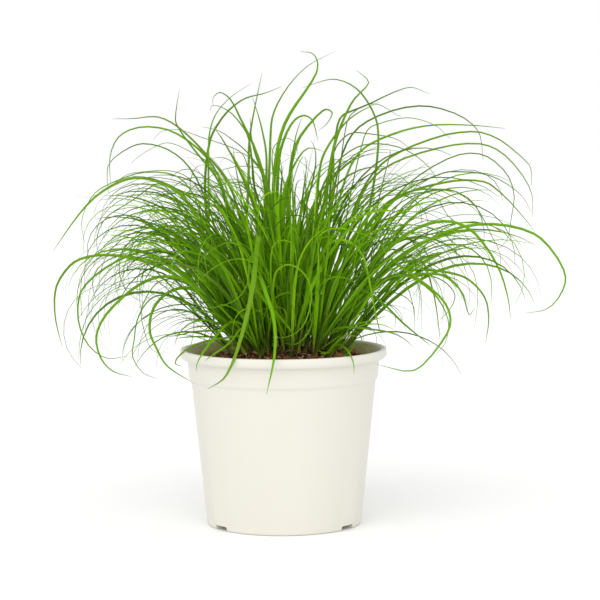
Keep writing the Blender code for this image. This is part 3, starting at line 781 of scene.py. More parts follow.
def arching_run(start, heading, length, nod, power, swirl, step=ROUTE_STEP, straight=0.0):
    """A line that leaves along heading and nods over by an angle that grows along it."""
    lean = math.acos(heading.z)
    azimuth = math.atan2(heading.y, heading.x)
    steps = max(8, round(length / step))
    run = [start]
    for index in range(steps):
        share = max(0.0, (index + 0.5) / steps - straight) / (1.0 - straight)
        angle = lean + nod * share**power
        way = azimuth + swirl * share * share
        direction = Vector(
            (math.sin(angle) * math.cos(way), math.sin(angle) * math.sin(way), math.cos(angle))
        )
        run.append(run[-1] + direction * (length / steps))
    return run


def arching_leaf(shoot, number, rng):
    """A leaf drawn by chance. Those to the sides arch right over."""
    spread = math.radians(rng.uniform(*LEAF_SPREAD))
    heading = shoot.axis + shoot.side(number) * math.tan(spread)
    heading.normalize()
    flat = math.hypot(heading.x, heading.y)
    sideways = abs(heading.x) / max(flat, LEAST_LEAN)
    reach = sideways * min(1.0, flat / FULL_LEAN)
    length = (rng.uniform(*LEAF_LENGTH) + MORE_LENGTH * reach * rng.uniform(0.5, 1.2)) * MM
    nod = math.radians(rng.uniform(*LEAF_NOD) + MORE_NOD * reach * rng.uniform(0.6, 1.3))
    power = rng.uniform(*LEAF_BEND)
    swirl = math.radians(rng.uniform(-LEAF_SWIRL, LEAF_SWIRL))
    run = arching_run(shoot.leaf_start(number), heading, length, nod, power, swirl)
    return Leaf(shoot, number, run, rng.uniform(*LEAF_WIDTH) * MM)


def place_other_leaves(clump, slots, rng):
    """Grows a leaf on each side that is left, where one fits between its neighbours."""
    for shoot, number in slots:
        for _ in range(MOST_TRIES):
            leaf = arching_leaf(shoot, number, rng)
            if within_spread(leaf.stations) and clump.fits(leaf):
                clump.add(leaf)
                break


def grow_clump():
    """Every shoot, and every leaf with its line, the same on each run."""
    rng = random.Random(CLUMP_SEED)
    shoots = [Shoot(index, rng) for index in range(SHOOT_COUNT)]
    slots = [(shoot, number) for shoot in shoots for number in range(LEAVES_PER_SHOOT)]
    clump = Clump()
    place_leading_leaves(clump, slots)
    place_other_leaves(clump, slots, rng)
    return shoots, clump.leaves


# Materials


class Wire:
    """An output of a material's node, with the sums that can be done on it."""

    def __init__(self, paint, socket):
        self.paint = paint
        self.socket = socket

    def maths(self, operation, *values):
        return self.paint.node("ShaderNodeMath", dict(enumerate(values)), operation=operation)

    def __add__(self, other):
        return self.maths("ADD", self, other)

    __radd__ = __add__

    def __sub__(self, other):
        return self.maths("SUBTRACT", self, other)

    def __rsub__(self, other):
        return self.maths("SUBTRACT", other, self)

    def __mul__(self, other):
        return self.maths("MULTIPLY", self, other)

    __rmul__ = __mul__

    def sine(self):
        return self.maths("SINE", self)

    def root(self):
        return self.maths("SQRT", self)

    def larger(self, other):
        return self.maths("MAXIMUM", self, other)

    def rise(self, low, high, to_low=0.0, to_high=1.0):
        """From to_low at low to to_high at high, easing in and out."""
        sizes = {"From Min": low, "From Max": high, "To Min": to_low, "To Max": to_high}
        return self.paint.node(
            "ShaderNodeMapRange", {"Value": self, **sizes}, interpolation_type="SMOOTHSTEP"
        )

    def between(self, first, second):
        """The first colour where this is 0 and the second where it is 1."""
        inputs = {0: self, 6: first, 7: second}
        return self.paint.node("ShaderNodeMix", inputs, output=2, data_type="RGBA")


class Paint:
    """A material in the making. Its surface is the shader that everything feeds."""

    def __init__(self, name, **constants):
        self.material = bpy.data.materials.new(name)
        self.material.use_nodes = True
        self.tree = self.material.node_tree
        self.surface = self.tree.nodes["Principled BSDF"]
        for socket, value in constants.items():
            self.surface.inputs[socket.replace("_", " ")].default_value = value

    def node(self, kind, inputs=None, output=0, **settings):
        """Adds any node, and gives back one of its outputs."""
        made = self.tree.nodes.new(kind)
        for setting, value in settings.items():
            setattr(made, setting, value)
        for name, value in (inputs or {}).items():
            self.feed(made.inputs[name], value)
        return Wire(self, made.outputs[output])

    def feed(self, socket, value):
        if isinstance(value, Wire):
            self.tree.links.new(value.socket, socket)
        elif hasattr(value, "__len__") and len(value) == 3 and socket.type == "RGBA":
            socket.default_value = (*value, 1.0)
        else:
            socket.default_value = value

    def coat(self, colour, roughness):
        """What the surface's colour and roughness come from."""
        self.feed(self.surface.inputs["Base Color"], colour)
        self.feed(self.surface.inputs["Roughness"], roughness)

    def bump(self, height, distance, strength):
        inputs = {"Height": height, "Distance": distance, "Strength": strength}
        self.feed(self.surface.inputs["Normal"], self.node("ShaderNodeBump", inputs))

    def place(self):
        return self.node("ShaderNodeTexCoord", output=3)

    def stretched(self, scale):
        """The place on the piece, scaled along each axis."""
        return self.node("ShaderNodeMapping", {"Vector": self.place(), "Scale": scale})

    def parts_of(self, vector):
        """The three numbers of a vector."""
        split = self.tree.nodes.new("ShaderNodeSeparateXYZ")
        self.feed(split.inputs[0], vector)
        return [Wire(self, output) for output in split.outputs]

    def uv(self, name):
        return self.parts_of(self.node("ShaderNodeUVMap", uv_map=name))[:2]

    def noise(self, scale, detail, roughness, vector=None):
        inputs = {
            "Vector": vector or self.place(),
            "Scale": scale,
            "Detail": detail,
            "Roughness": roughness,
        }
        return self.node("ShaderNodeTexNoise", inputs)

    def cells(self, scale):
        return self.node("ShaderNodeTexVoronoi", {"Vector": self.place(), "Scale": scale})


def mix_shaders(tree, factor, first, second, output):
    """Mixes two shaders and sends the mix to the tree's output."""
    both = tree.nodes.new("ShaderNodeMixShader")
    sources = (factor, first.outputs[0], second.outputs[0])
    for socket, source in zip(both.inputs, sources):
        tree.links.new(source, socket)
    tree.links.new(both.outputs[0], tree.nodes[output].inputs["Surface"])


def plastic_paint(settings):
    """Cream moulded plastic: a soft sheen and a faint flow in its colour. Inside, above the
    soil, a stain that is also painted shade and painted green light from the leaves.
    """
    paint = Paint("cream_pot_plastic", IOR=1.46)
    x, y, z = paint.parts_of(paint.place())
    lip_foot = RIM_HEIGHT - LIP_DEPTH

    def wall_middle(foot, radius, slope):
        """The radius halfway through a wall that leans out from its foot."""
        return z * slope + (radius - WALL / 2 - slope * foot)

    flow = paint.noise(26.0, 3.0, 0.55, paint.stretched((1.0, 1.0, 0.35)))
    colour = flow.rise(0.3, 0.7).between(settings.plastic_shade, settings.plastic)
    band_slope = (BAND_TOP_RADIUS - BAND_FOOT_RADIUS) / (lip_foot - BAND_FOOT_HEIGHT)
    lip_slope = (RIM_RADIUS - BAND_TOP_RADIUS) / LIP_DEPTH * LIP_LEAN_SHARE
    band = wall_middle(BAND_FOOT_HEIGHT, BAND_FOOT_RADIUS, band_slope)
    lip = wall_middle(lip_foot, BAND_TOP_RADIUS, lip_slope)
    # Painted shade and green light from the leaves, with some real stain, on the inside wall
    inside = (band.larger(lip) - (x * x + y * y).root()).rise(0.0, STAIN_AND_SHADE_EDGE)
    low = z.rise(RIM_HEIGHT - STAIN_AND_SHADE_START, RIM_HEIGHT - STAIN_AND_SHADE_FULL)
    above = z.rise(BAND_FOOT_HEIGHT - STAIN_AND_SHADE_FADE, BAND_FOOT_HEIGHT + STAIN_AND_SHADE_FADE)
    blotches = paint.noise(240.0, 4.0, 0.65).rise(0.34, 0.66)
    stain_and_shade = inside * low * above * (blotches * 0.3 + 0.7) * settings.stain_and_shade
    scuffs = paint.noise(90.0, 4.0, 0.6)
    paint.coat(
        stain_and_shade.between(colour, settings.stain_and_shade_colour), scuffs * 0.16 + (settings.roughness - 0.08)
    )
    paint.bump(paint.noise(700.0, 2.0, 0.5) * 0.4 + flow * 0.6, 0.04 * MM, 0.5)
    return paint.material


def soil_paint(settings):
    """Damp peat and coir: dark between reddish crumbs."""
    paint = Paint("potting_soil", Specular_IOR_Level=0.3)
    lumps = paint.noise(170.0, 5.0, 0.65)
    crumbs = paint.cells(520.0)
    dark = lumps.rise(0.32, 0.68).between(settings.dark, settings.red)
    pale = paint.noise(620.0, 3.0, 0.6).rise(0.62, 0.78) * 0.55
    paint.coat(pale.between(dark, settings.pale), lumps.rise(0.3, 0.7, 0.98, 0.78))
    paint.bump(lumps * 0.6 + crumbs * 0.4, 0.9 * MM, 0.9)
    return paint.material


def crumb_paint(settings):
    """Bits of bark, coir and peat, each its own colour from its tint."""
    paint = Paint("soil_bits", Specular_IOR_Level=0.3)
    tone, hue = paint.uv(TINT_UV)
    grain = paint.noise(900.0, 3.0, 0.6)
    colour = hue.rise(0.3, 0.7).between(settings.red, settings.tan)
    colour = tone.rise(0.35, 0.8).between(settings.dark, colour)
    colour = tone.rise(0.86, 0.97).between(colour, settings.pale)
    streaks = grain.rise(0.4, 0.7) * 0.45
    paint.coat(streaks.between(colour, settings.dark), grain.rise(0.3, 0.7, 0.95, 0.75))
    paint.bump(grain, 0.25 * MM, 0.8)
    return paint.material


def bark_paint(settings):
    """Pine bark: layered, reddish brown with paler torn edges."""
    paint = Paint("pine_bark_flakes", Specular_IOR_Level=0.35)
    plates = paint.noise(1.0, 4.0, 0.6, paint.stretched((120.0, 120.0, 900.0)))
    fibres = paint.noise(420.0, 4.0, 0.65)
    colour = plates.rise(0.36, 0.62).between(settings.dark, settings.red)
    colour = fibres.rise(0.56, 0.72).between(colour, settings.pale)
    paint.coat(colour, fibres.rise(0.3, 0.7, 0.9, 0.7))
    paint.bump(plates * 0.6 + fibres * 0.4, 0.5 * MM, 0.9)
    return paint.material


def grass_paint(settings):
    """Fresh sedge leaves: ribbed lengthwise, light shining through. Their feet are pale on
    some stems, and on others darkened by painted shade, partly their own brown.
    """
    paint = Paint("grass_blades", Specular_IOR_Level=0.1)
    across, along = paint.uv(BLADE_UV)
    tone, hue = paint.uv(TINT_UV)
    patches = paint.noise(38.0, 3.0, 0.55)
    ribs = (across * (2 * math.pi * 6)).sine() * 0.5 + 0.5
    midrib = across.rise(0.36, 0.5) * across.rise(0.64, 0.5)
    depth = tone * 1.05 + patches * 0.5 - 0.3
    # Painted shade: many leaves darken at the foot towards the soil, partly their own brown
    foot = hue.rise(0.35, 0.6).between(settings.sheath, settings.brown_and_shaded_foot)
    layers = (
        (depth.rise(0.0, 0.55), settings.green),
        (depth.rise(0.5, 1.0), settings.bright),
        (ribs * 0.14, settings.bright),
        (midrib * 0.16, settings.pale),
        (hue.rise(0.72, 1.0) * along.rise(0.2, 0.7) * 0.55, settings.grey),
        (along.rise(SHEATH_SHARE, 0.0) * 0.8, foot),
        (along.rise(0.08, 0.0) * hue.rise(0.25, 0.05) * 0.6, settings.blush),
        (along.rise(0.93, 1.0) * hue.rise(0.35, 0.75) * 0.6, settings.tip),
    )
    colour = settings.deep
    for mask, layer in layers:
        colour = mask.between(colour, layer)
    paint.coat(colour, patches * 0.2 + (settings.roughness - 0.1))
    paint.bump(ribs * 0.6 + midrib * 0.8, 0.12 * MM, 0.7)
    through = paint.tree.nodes.new("ShaderNodeBsdfTranslucent")
    through.inputs["Color"].default_value = (*settings.through, 1.0)
    share = depth.rise(0.1, 0.9) * settings.thinness
    mix_shaders(paint.tree, share.socket, paint.surface, through, "Material Output")
    return paint.material


# Making a piece


def mesh_of(bm, name):
    mesh = bpy.data.meshes.new(name)
    bm.to_mesh(mesh)
    bm.free()
    return mesh


def add_object(name, data):
    """A new object in the scene."""
    made = bpy.data.objects.new(name, data)
    bpy.context.scene.collection.objects.link(made)
    return made


def add_piece(name, mesh, material, slot, *nodes):
    """A finished piece of the plant, on its body and in place of its plain solids."""
    mesh.materials.append(material)
    piece = add_object(name, mesh)
    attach(piece, "root")
    if nodes:
        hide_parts(*nodes)


def smooth_up_to(mesh, degrees):
    """Smooth shading, with an edge kept where two faces meet at more than the angle."""
    mesh.shade_smooth()
    mesh.set_sharp_from_angle(angle=math.radians(degrees))


def turn_about(axis, degrees, size=4):
    """The matrix of a turn about an axis."""
    return Matrix.Rotation(math.radians(degrees), size, axis)


def drum(sides, foot, top, height):
    """An upright closed drum round the origin."""
    bm = bmesh.new()
    bmesh.ops.create_cone(
        bm, cap_ends=True, segments=sides, radius1=foot, radius2=top, depth=height
    )
    return bm


def round_off(bm, geom, rounding, segments, affect):
    """Rounds corners or edges of a shape."""
    bmesh.ops.bevel(
        bm,
        geom=geom,
        offset=rounding,
        offset_type="OFFSET",
        segments=segments,
        profile=0.5,
        affect=affect,
        material=-1,
    )


def spun(profile, steps):
    """A closed shape turned about Z. Each corner is (radius, height, rounding)."""
    bm = bmesh.new()
    corners = [bm.verts.new((radius, 0.0, height)) for radius, height, _ in profile]
    for start, end in zip(corners, corners[1:]):
        bm.edges.new((start, end))
    for corner, (_, _, rounding) in zip(corners, profile):
        if rounding:
            round_off(bm, [corner], rounding, 3, "VERTICES")
    bmesh.ops.spin(
        bm,
        geom=bm.verts[:] + bm.edges[:],
        cent=(0.0, 0.0, 0.0),
        axis=(0.0, 0.0, 1.0),
        angle=2 * math.pi,
        steps=steps,
        use_merge=True,
    )
    bmesh.ops.remove_doubles(bm, verts=bm.verts, dist=MERGE_DISTANCE)
    bmesh.ops.recalc_face_normals(bm, faces=bm.faces)
    return bm


def groove_cutter(angle):
    """A bar along a radius with rounded upper edges, from inside the base out past it."""
    reach = BASE_RADIUS + GROOVE_OVERRUN - GROOVE_INNER_RADIUS
    bm = bmesh.new()
    bmesh.ops.create_cube(bm, size=1.0)
    bmesh.ops.scale(bm, vec=(reach, GROOVE_WIDTH, 2 * GROOVE_HEIGHT), verts=bm.verts)
    upper = [edge for edge in bm.edges if all(end.co.z > 0 for end in edge.verts)]
    round_off(bm, upper, GROOVE_ROUNDING, 4, "EDGES")
    bmesh.ops.translate(bm, vec=(GROOVE_INNER_RADIUS + reach / 2, 0.0, 0.0), verts=bm.verts)
    bmesh.ops.rotate(bm, matrix=turn_about("Z", angle, 3), verts=bm.verts)
    return bm


def hole_cutter(angle):
    """A drum through the pot's floor, on the ring of holes."""
    bm = drum(HOLE_STEPS, HOLE_RADIUS, HOLE_RADIUS, 4 * FLOOR_THICKNESS)
    place = turn_about("Z", angle, 3) @ Vector((HOLE_RING_RADIUS, 0.0, 0.0))
    bmesh.ops.translate(bm, vec=place, verts=bm.verts)
    return bm


def cut_away(mesh, cutters):
    """The mesh with each cutter's shape taken out of it."""
    body = add_object("body", mesh)
    tools = [add_object("cutter", mesh_of(bm, "cutter")) for bm in cutters]
    for tool in tools:
        cut = body.modifiers.new("Cut", "BOOLEAN")
        cut.object = tool
        cut.operation = "DIFFERENCE"
        cut.solver = "EXACT"
    graph = bpy.context.evaluated_depsgraph_get()
    result = bpy.data.meshes.new_from_object(body.evaluated_get(graph))
    for helper in (body, *tools):
        bpy.data.objects.remove(helper)
    return result


def soil_top(x, y):
    """The height of the crumbly soil at a place."""
    radius = math.hypot(x, y)
    fade = min(1.0, (SOIL_RADIUS - radius) / SOIL_FADE)
    lumps = 0.0
    for scale, shift, height in SOIL_LUMPS:
        lumps += noise.noise(Vector((x, y, shift)) * scale) * height * MM
    return soil_height_at(radius) + lumps * max(fade, LEAST_LUMPS)


# Strands: the leaves, and the fibres on the soil


class Strand:
    """A closed tube of one metre along Z, ready to be laid along a line."""

    def __init__(self, sides, segments):
        bm = drum(sides, 1.0, 1.0, 1.0)
        lengthwise = [
            edge for edge in bm.edges if abs(edge.verts[0].co.z - edge.verts[1].co.z) > 0.5
        ]
        bmesh.ops.subdivide_edges(bm, edges=lengthwise, cuts=segments - 1)
        bmesh.ops.recalc_face_normals(bm, faces=bm.faces)
        self.segments = segments
        self.mesh = mesh_of(bm, "strand")
        count = len(self.mesh.vertices)
        places = np.empty(3 * count)
        self.mesh.vertices.foreach_get("co", places)
        places = places.reshape(count, 3)
        self.x, self.y = places[:, 0], places[:, 1]
        self.ring = np.rint((places[:, 2] + 0.5) * segments).astype(int)
        self.corners = np.empty(len(self.mesh.loops), int)
        self.mesh.loops.foreach_get("vertex_index", self.corners)

    def laid(self, stations, across, above, halves, fold, flat):
        """Its points, laid along the stations with half its width at each."""
        half = halves[self.ring]
        drop = flat * self.y - fold * (1.0 - abs(self.x))
        return (
            stations[self.ring]
            + across[self.ring] * (self.x * half)[:, None]
            + above[self.ring] * (drop * half)[:, None]
        )

    def spread(self, shares):
        """Its first UV map: across the strand, and the share of the way along it."""
        return np.stack([(self.x + 1) / 2, shares[self.ring]], axis=1)[self.corners]


class Bundle:
    """Many strands joined in one mesh, with their places and tints."""

    def __init__(self):
        self.bm = bmesh.new()
        self.places = []
        self.spreads = []
        self.tints = []

    def lay(self, strand, stations, frames, halves, shares, tint, fold=0.0, flat=1.0):
        """Adds a strand, laid along the stations, folded and flattened."""
        self.bm.from_mesh(strand.mesh)
        self.places.append(strand.laid(stations, *frames, halves, fold, flat))
        self.spreads.append(strand.spread(shares))
        self.tints.append(np.tile(tint, (len(strand.corners), 1)))

    def mesh(self, name):
        mesh = mesh_of(self.bm, name)
        mesh.vertices.foreach_set("co", np.concatenate(self.places).ravel())
        for map_name, values in ((BLADE_UV, self.spreads), (TINT_UV, self.tints)):
            layer = mesh.uv_layers.new(name=map_name)
            layer.data.foreach_set("uv", np.concatenate(values).ravel())
        mesh.update()
        return mesh


def eased(run):
    """The line of a listed leaf, with the bend low down in it drawn out."""
    points = even_bends(run, 2 * LONG_BLADE_SEGMENTS)
    if points[:, 1].min() < NEAR_DEPTH:
        return points
    shares = shares_along(points)[1:-1]
    weights = np.clip((EASED_SHARE - shares) * EASING_GROWTH, 0.0, MOST_EASING)[:, None]
    for _ in range(EASING_STEPS):
        points[1:-1] += ((points[:-2] + points[2:]) / 2 - points[1:-1]) * weights
    return points


def headings_along(stations):
    """The way that a line goes at each of its stations."""
    places = [Vector(station) for station in stations]
    last = len(places) - 1
    return [
        (places[min(index + 1, last)] - places[max(index - 1, 0)]).normalized()
        for index in range(len(places))
    ]


def square_to(heading, way):
    """The way, made square to the heading."""
    return (way - heading * way.dot(heading)).normalized()


def twisted(headings, acrosses, twist):
    """Which way a strand's width and its upper face point at each station."""
    last = len(headings) - 1
    widths = [
        Matrix.Rotation(twist * index / last, 3, heading) @ across
        for index, (heading, across) in enumerate(zip(headings, acrosses))
    ]
    faces = [heading.cross(width) for heading, width in zip(headings, widths)]
    return np.array(widths), np.array(faces)


def frames_along(stations, across, twist):
    """The frames of a strand that turns only as its line does, and as it twists."""
    headings = headings_along(stations)
    along = headings[0]
    acrosses = []
    for heading in headings:
        across = square_to(heading, along.rotation_difference(heading) @ across)
        along = heading
        acrosses.append(across)
    return twisted(headings, acrosses, twist)


def frames_facing_viewer(stations, twist):
    """The frames of a listed leaf, whose broad side faces the front of the plant."""
    headings = headings_along(stations)
    across = Vector((1.0, 0.0, 0.0))
    acrosses = []
    for heading in headings:
        level = heading.cross(VIEWER)
        level = -level if level.dot(across) < 0 else level
        across = square_to(heading, across * STEADINESS + level)
        acrosses.append(across)
    return twisted(headings, acrosses, twist)


def lay_blade(bundle, strand, run, side, width, rng, tint):
    """Lays one leaf along its line, folded along its middle and slowly twisting.

    Side is the way that its upper face looks, or None for a leaf that faces the front
    and keeps its width almost to the tip.
    """
    stations = even_bends(run, strand.segments)
    shares = shares_along(stations)
    drawn = side is None
    foot, full, taper = DRAWN_FORM if drawn else GROWN_FORM
    swelling = foot + (1.0 - foot) * np.minimum(shares / full, 1.0)
    widths = BLADE_TIP + (width - BLADE_TIP) * (1.0 - shares**taper) * swelling
    twist = math.radians(rng.gauss(0.0, DRAWN_TWIST if drawn else GROWN_TWIST))
    if drawn:
        frames = frames_facing_viewer(stations, twist)
    else:
        along = (Vector(stations[1]) - Vector(stations[0])).normalized()
        frames = frames_along(stations, along.cross(side).normalized(), twist)
    bundle.lay(
        strand, stations, frames, widths / 2, shares, tint, BLADE_FOLD, BLADE_THICKNESS_SHARE
    )


def lay_drawn_leaf(bundle, strand, run, width, tone, rng):
    """Lays a listed leaf. One that reaches far out is narrower and more olive."""
    reach = min(abs(run[-1][0]) / SPREAD_RIGHT, 1.0)
    tone += rng.uniform(*DRAWN_TONE) + TONE_BY_WIDTH * width
    hue = rng.uniform(FAR_HUE * reach, 1.0)
    width *= DRAWN_WIDTH_SHARE - FAR_NARROWING * reach
    lay_blade(bundle, strand, run, None, width, rng, (tone, hue))


def lay_sheath(bundle, strand, shoot, rng):
    """Lays the stem's wrapped base, from just under the soil."""
    foot = shoot.foot - shoot.axis * SHEATH_DEPTH * MM
    top = shoot.foot + shoot.axis * SHEATH_HEIGHT
    stations = np.linspace(foot, top, strand.segments + 1)
    shares = np.linspace(0.0, 1.0, strand.segments + 1)
    halves = STEM_RADIUS * (SHEATH_FOOT_SHARE - SHEATH_TAPER * shares)
    frames = frames_along(stations, shoot.side(0), 0.0)
    tint = (rng.uniform(0.1, 0.6), rng.random())
    bundle.lay(strand, stations, frames, halves, shares * SHEATH_SHARE, tint)


def fine_leaf(shoot, kind, rng):
    """A finer leaf drawn by chance: its line, the way it faces and its width."""
    side = shoot.facing(rng.uniform(0.0, 2 * math.pi))
    spread = math.radians(rng.uniform(*kind.spread))
    heading = (shoot.axis + side * math.tan(spread)).normalized()
    flat = math.hypot(heading.x, heading.y)
    sideways = (abs(heading.x) + max(heading.y, 0.0)) / max(flat, LEAST_LEAN)
    reach = min(sideways * min(1.0, flat / FINE_FULL_LEAN), 1.0)
    length = rng.uniform(*kind.length) + reach * rng.uniform(0.0, kind.more_length)
    nod = rng.uniform(*kind.nod) + reach * rng.uniform(0.4, 1.0) * kind.more_nod
    start = shoot.foot + shoot.axis * rng.uniform(*kind.height) * MM
    start += side * FINE_OFFSET * MM
    run = arching_run(
        start,
        heading,
        length * MM,
        math.radians(nod),
        rng.uniform(*FINE_BEND),
        math.radians(rng.triangular(-FINE_SWIRL, FINE_SWIRL, 0.0)),
        ROUTE_STEP / 2,
        rng.uniform(*kind.straight),
    )
    return run, side, rng.uniform(*kind.width) * (1.0 - FINE_NARROWING * reach) * MM


def lay_fine_leaf(bundle, strand, shoot, kind, rng):
    """Lays one where it fits, or none where none does. The right side is the thinner."""
    for _ in range(FINE_TRIES):
        run, side, width = fine_leaf(shoot, kind, rng)
        share = RIGHT_SHARE if run[-1][0] > 0 else LEFT_SHARE
        if abs(run[-1][0]) > SIDE and rng.random() > share:
            return
        if fits_in(run, width):
            reach = abs(run[-1][0]) / SPREAD_RIGHT
            tone = rng.uniform(*kind.tone) * (1.0 - FINE_DARKENING * reach)
            tint = (tone, rng.random())
            lay_blade(bundle, strand, run, side, width, rng, tint)
            return


def fits_in(run, width):
    """True if a fine leaf is inside the plant's form, off the pot and not over its front."""
    points = even_bends(run, FINE_TEST_SEGMENTS)
    front = (points[:, 1] < FRONT_DEPTH) & (abs(points[:, 0]) < RIM_RADIUS)
    if (points[front, 2] < FRONT_HEIGHT).any():
        return False
    height = np.where(points[:, 0] < 0, FINE_HEIGHT_LEFT, FINE_HEIGHT_RIGHT)
    if not within_spread(points, height):
        return False
    return clear_of_pot(points, np.full(len(points), width / 3))


def lay_solid_leaf(bundle, blade, long_blade, leaf, rng):
    """Lays a leaf that the plain solids have too, listed or grown by chance."""
    if len(leaf.stations) > LEAF_SEGMENTS + 1:
        lay_drawn_leaf(bundle, long_blade, eased(leaf.run), leaf.width, 0.0, rng)
    else:
        side = leaf.shoot.side(leaf.number)
        tint = (rng.uniform(0.1, 0.9), rng.random())
        lay_blade(bundle, blade, leaf.run, side, leaf.width * DRAWN_WIDTH_SHARE, rng, tint)


def finer_drawn_leaves(shoots):
    """The finer listed leaves: each one's shoot, line, width and tone."""
    slots = [(shoot, number) for shoot in shoots for number in range(LEAVES_PER_SHOOT)]
    drawn = []
    for root_x, depth, width, points in FINE_LEAVES:
        slot = free_side(slots, root_x, depth, points[0][0])
        run = eased(leading_run(*slot, depth, points))
        drawn.append((slot[0], run, width * MM, 0.0))
    for width, points in NEAR_LEAVES:
        places = [Vector(point) * MM for point in points]
        owner = min(shoots, key=lambda shoot: (shoot.foot - places[0]).length)
        run = smooth_run([owner.foot + owner.axis * NEAR_ROOT_HEIGHT * MM, *places])
        drawn.append((owner, run, width * MM, NEAR_TONE))
    return drawn


# The bits on the soil


def scattered(rng, margin):
    """A place on the soil, by chance, at least the margin from the pot's wall."""
    radius = (SOIL_RADIUS - margin) * math.sqrt(rng.random())
    angle = rng.uniform(0.0, 2 * math.pi)
    return radius * math.cos(angle), radius * math.sin(angle)


class Litter:
    """Small bits of a few shapes strewn on the soil and joined in one mesh."""

    def __init__(self, make_shape):
        self.shapes = [make_shape(random.Random(seed)) for seed in range(LITTER_SHAPES)]
        self.bm = bmesh.new()
        self.tints = []

    def strew(self, rng, place, turn, sizes, tint):
        """Adds one of the shapes, by chance, at its size, turned and in its place."""
        matrix = Matrix.Translation(place) @ turn @ Matrix.Diagonal((*sizes, 1.0))
        shape = rng.choice(self.shapes)
        first = len(self.bm.verts)
        self.bm.from_mesh(shape)
        self.bm.verts.ensure_lookup_table()
        bmesh.ops.transform(self.bm, matrix=matrix, verts=self.bm.verts[first:])
        self.tints.append(np.tile(tint, (len(shape.loops), 1)))

    def mesh(self, name):
        mesh = mesh_of(self.bm, name)
        layer = mesh.uv_layers.new(name=TINT_UV)
        layer.data.foreach_set("uv", np.concatenate(self.tints).ravel())
        return mesh


def crumb_shape(rng):
    bm = bmesh.new()
    bmesh.ops.create_icosphere(bm, subdivisions=1, radius=0.5)
    for vertex in bm.verts:
        vertex.co *= rng.uniform(0.7, 1.15)
    return mesh_of(bm, "crumb")


def splinter_shape(rng):
    bm = drum(rng.choice((5, 6, 7)), 0.5, 0.4, 1.0)
    for vertex in bm.verts:
        vertex.co.x *= rng.uniform(0.7, 1.1)
        vertex.co.y *= rng.uniform(0.7, 1.1)
        vertex.co.z *= rng.uniform(0.6, 1.2)
    return mesh_of(bm, "splinter")


def crumbs_mesh(count, rng):
    """Crumbs of soil and coir, sunk a little and turned every way."""
    crumbs = Litter(crumb_shape)
    for _ in range(count):
        size = rng.uniform(*CRUMB_SIZE) * MM
        x, y = scattered(rng, size / 2 + CRUMB_MARGIN)
        sizes = [size * rng.uniform(*CRUMB_STRETCH) for _ in range(3)]
        turn = Matrix.Rotation(rng.uniform(0.0, ANY_TURN), 4, Vector((rng.random(), 1.0, 0.4)))
        tint = (rng.random(), rng.random())
        crumbs.strew(rng, (x, y, soil_top(x, y) + size * CRUMB_LIFT), turn, sizes, tint)
    return crumbs.mesh("soil_crumbs")


def splinters_mesh(count, rng):
    """Small flat bits of bark that lie nearly level."""
    splinters = Litter(splinter_shape)
    for _ in range(count):
        length = rng.uniform(*SPLINTER_LENGTH) * MM
        x, y = scattered(rng, length / 2 + SPLINTER_MARGIN)
        width = length * rng.uniform(*SPLINTER_WIDTH)
        sizes = (length, width, rng.uniform(*SPLINTER_THICKNESS) * MM)
        turn = (
            Matrix.Rotation(rng.uniform(0.0, ANY_TURN), 4, "Z")
            @ Matrix.Rotation(rng.gauss(0.0, 0.5), 4, "X")
            @ Matrix.Rotation(rng.gauss(0.0, 0.4), 4, "Y")
        )
        tint = (rng.uniform(0.2, 1.0), rng.random())
        splinters.strew(rng, (x, y, soil_top(x, y) + SPLINTER_LIFT), turn, sizes, tint)
    return splinters.mesh("soil_splinters")


def fibres_mesh(count, rng):
    """Coir fibres that curl over the soil."""
    strand = Strand(FIBRE_SIDES, FIBRE_SEGMENTS)
    fibres = Bundle()
    for _ in range(count):
        x, y = scattered(rng, FIBRE_MARGIN)
        way = rng.uniform(0.0, ANY_TURN)
        step = rng.uniform(*FIBRE_STEP) * MM
        curl = rng.uniform(-0.5, 0.5)
        lift = rng.uniform(*FIBRE_LIFT) * MM
        stations = []
        for _ in range(strand.segments + 1):
            stations.append((x, y, soil_top(x, y) + lift))
            x += step * math.cos(way)
            y += step * math.sin(way)
            way += curl
        shares = np.linspace(0.0, 1.0, len(stations))
        halves = rng.uniform(*FIBRE_HALF_WIDTH) * MM * (1.0 - 0.7 * shares)
        frames = frames_along(stations, Vector((0.0, 0.0, 1.0)), 0.0)
        tint = (rng.uniform(0.35, 1.0), rng.random())
        fibres.lay(strand, np.array(stations), frames, halves, shares, tint)
    mesh = fibres.mesh("soil_fibres")
    smooth_up_to(mesh, 80.0)
    return mesh


def flake_mesh(index, chip):
    """A torn, layered flake of bark in the place of a chip."""
    _, _, turn, tilt, length, width, thickness = chip
    rng = random.Random(index)
    bm = drum(FLAKE_SIDES, 0.5, 0.42, 1.0)
    for corner in bm.verts:
        corner.co.x *= rng.uniform(0.78, 1.0)
        corner.co.y *= rng.uniform(0.78, 1.0)
    bmesh.ops.triangulate(bm, faces=bm.faces)
    bmesh.ops.subdivide_edges(bm, edges=bm.edges, cuts=3, use_grid_fill=True)
    bmesh.ops.scale(bm, vec=Vector((length, width, thickness)) * MM, verts=bm.verts)
    bm.normal_update()
    for vertex in bm.verts:
        place = vertex.co * FLAKE_GRAIN + Vector((index * 9.0, 0.0, 0.0))
        place.z *= FLAKE_LAYERING
        vertex.co += vertex.normal * (noise.noise(place) * FLAKE_RELIEF * MM)
    place = Matrix.Translation(chip_place(chip)) @ turn_about("Z", turn) @ turn_about("X", tilt)
    bmesh.ops.transform(bm, matrix=place, verts=bm.verts)
    mesh = mesh_of(bm, "bark_flake")
    smooth_up_to(mesh, 35.0)
    return mesh


# The studio


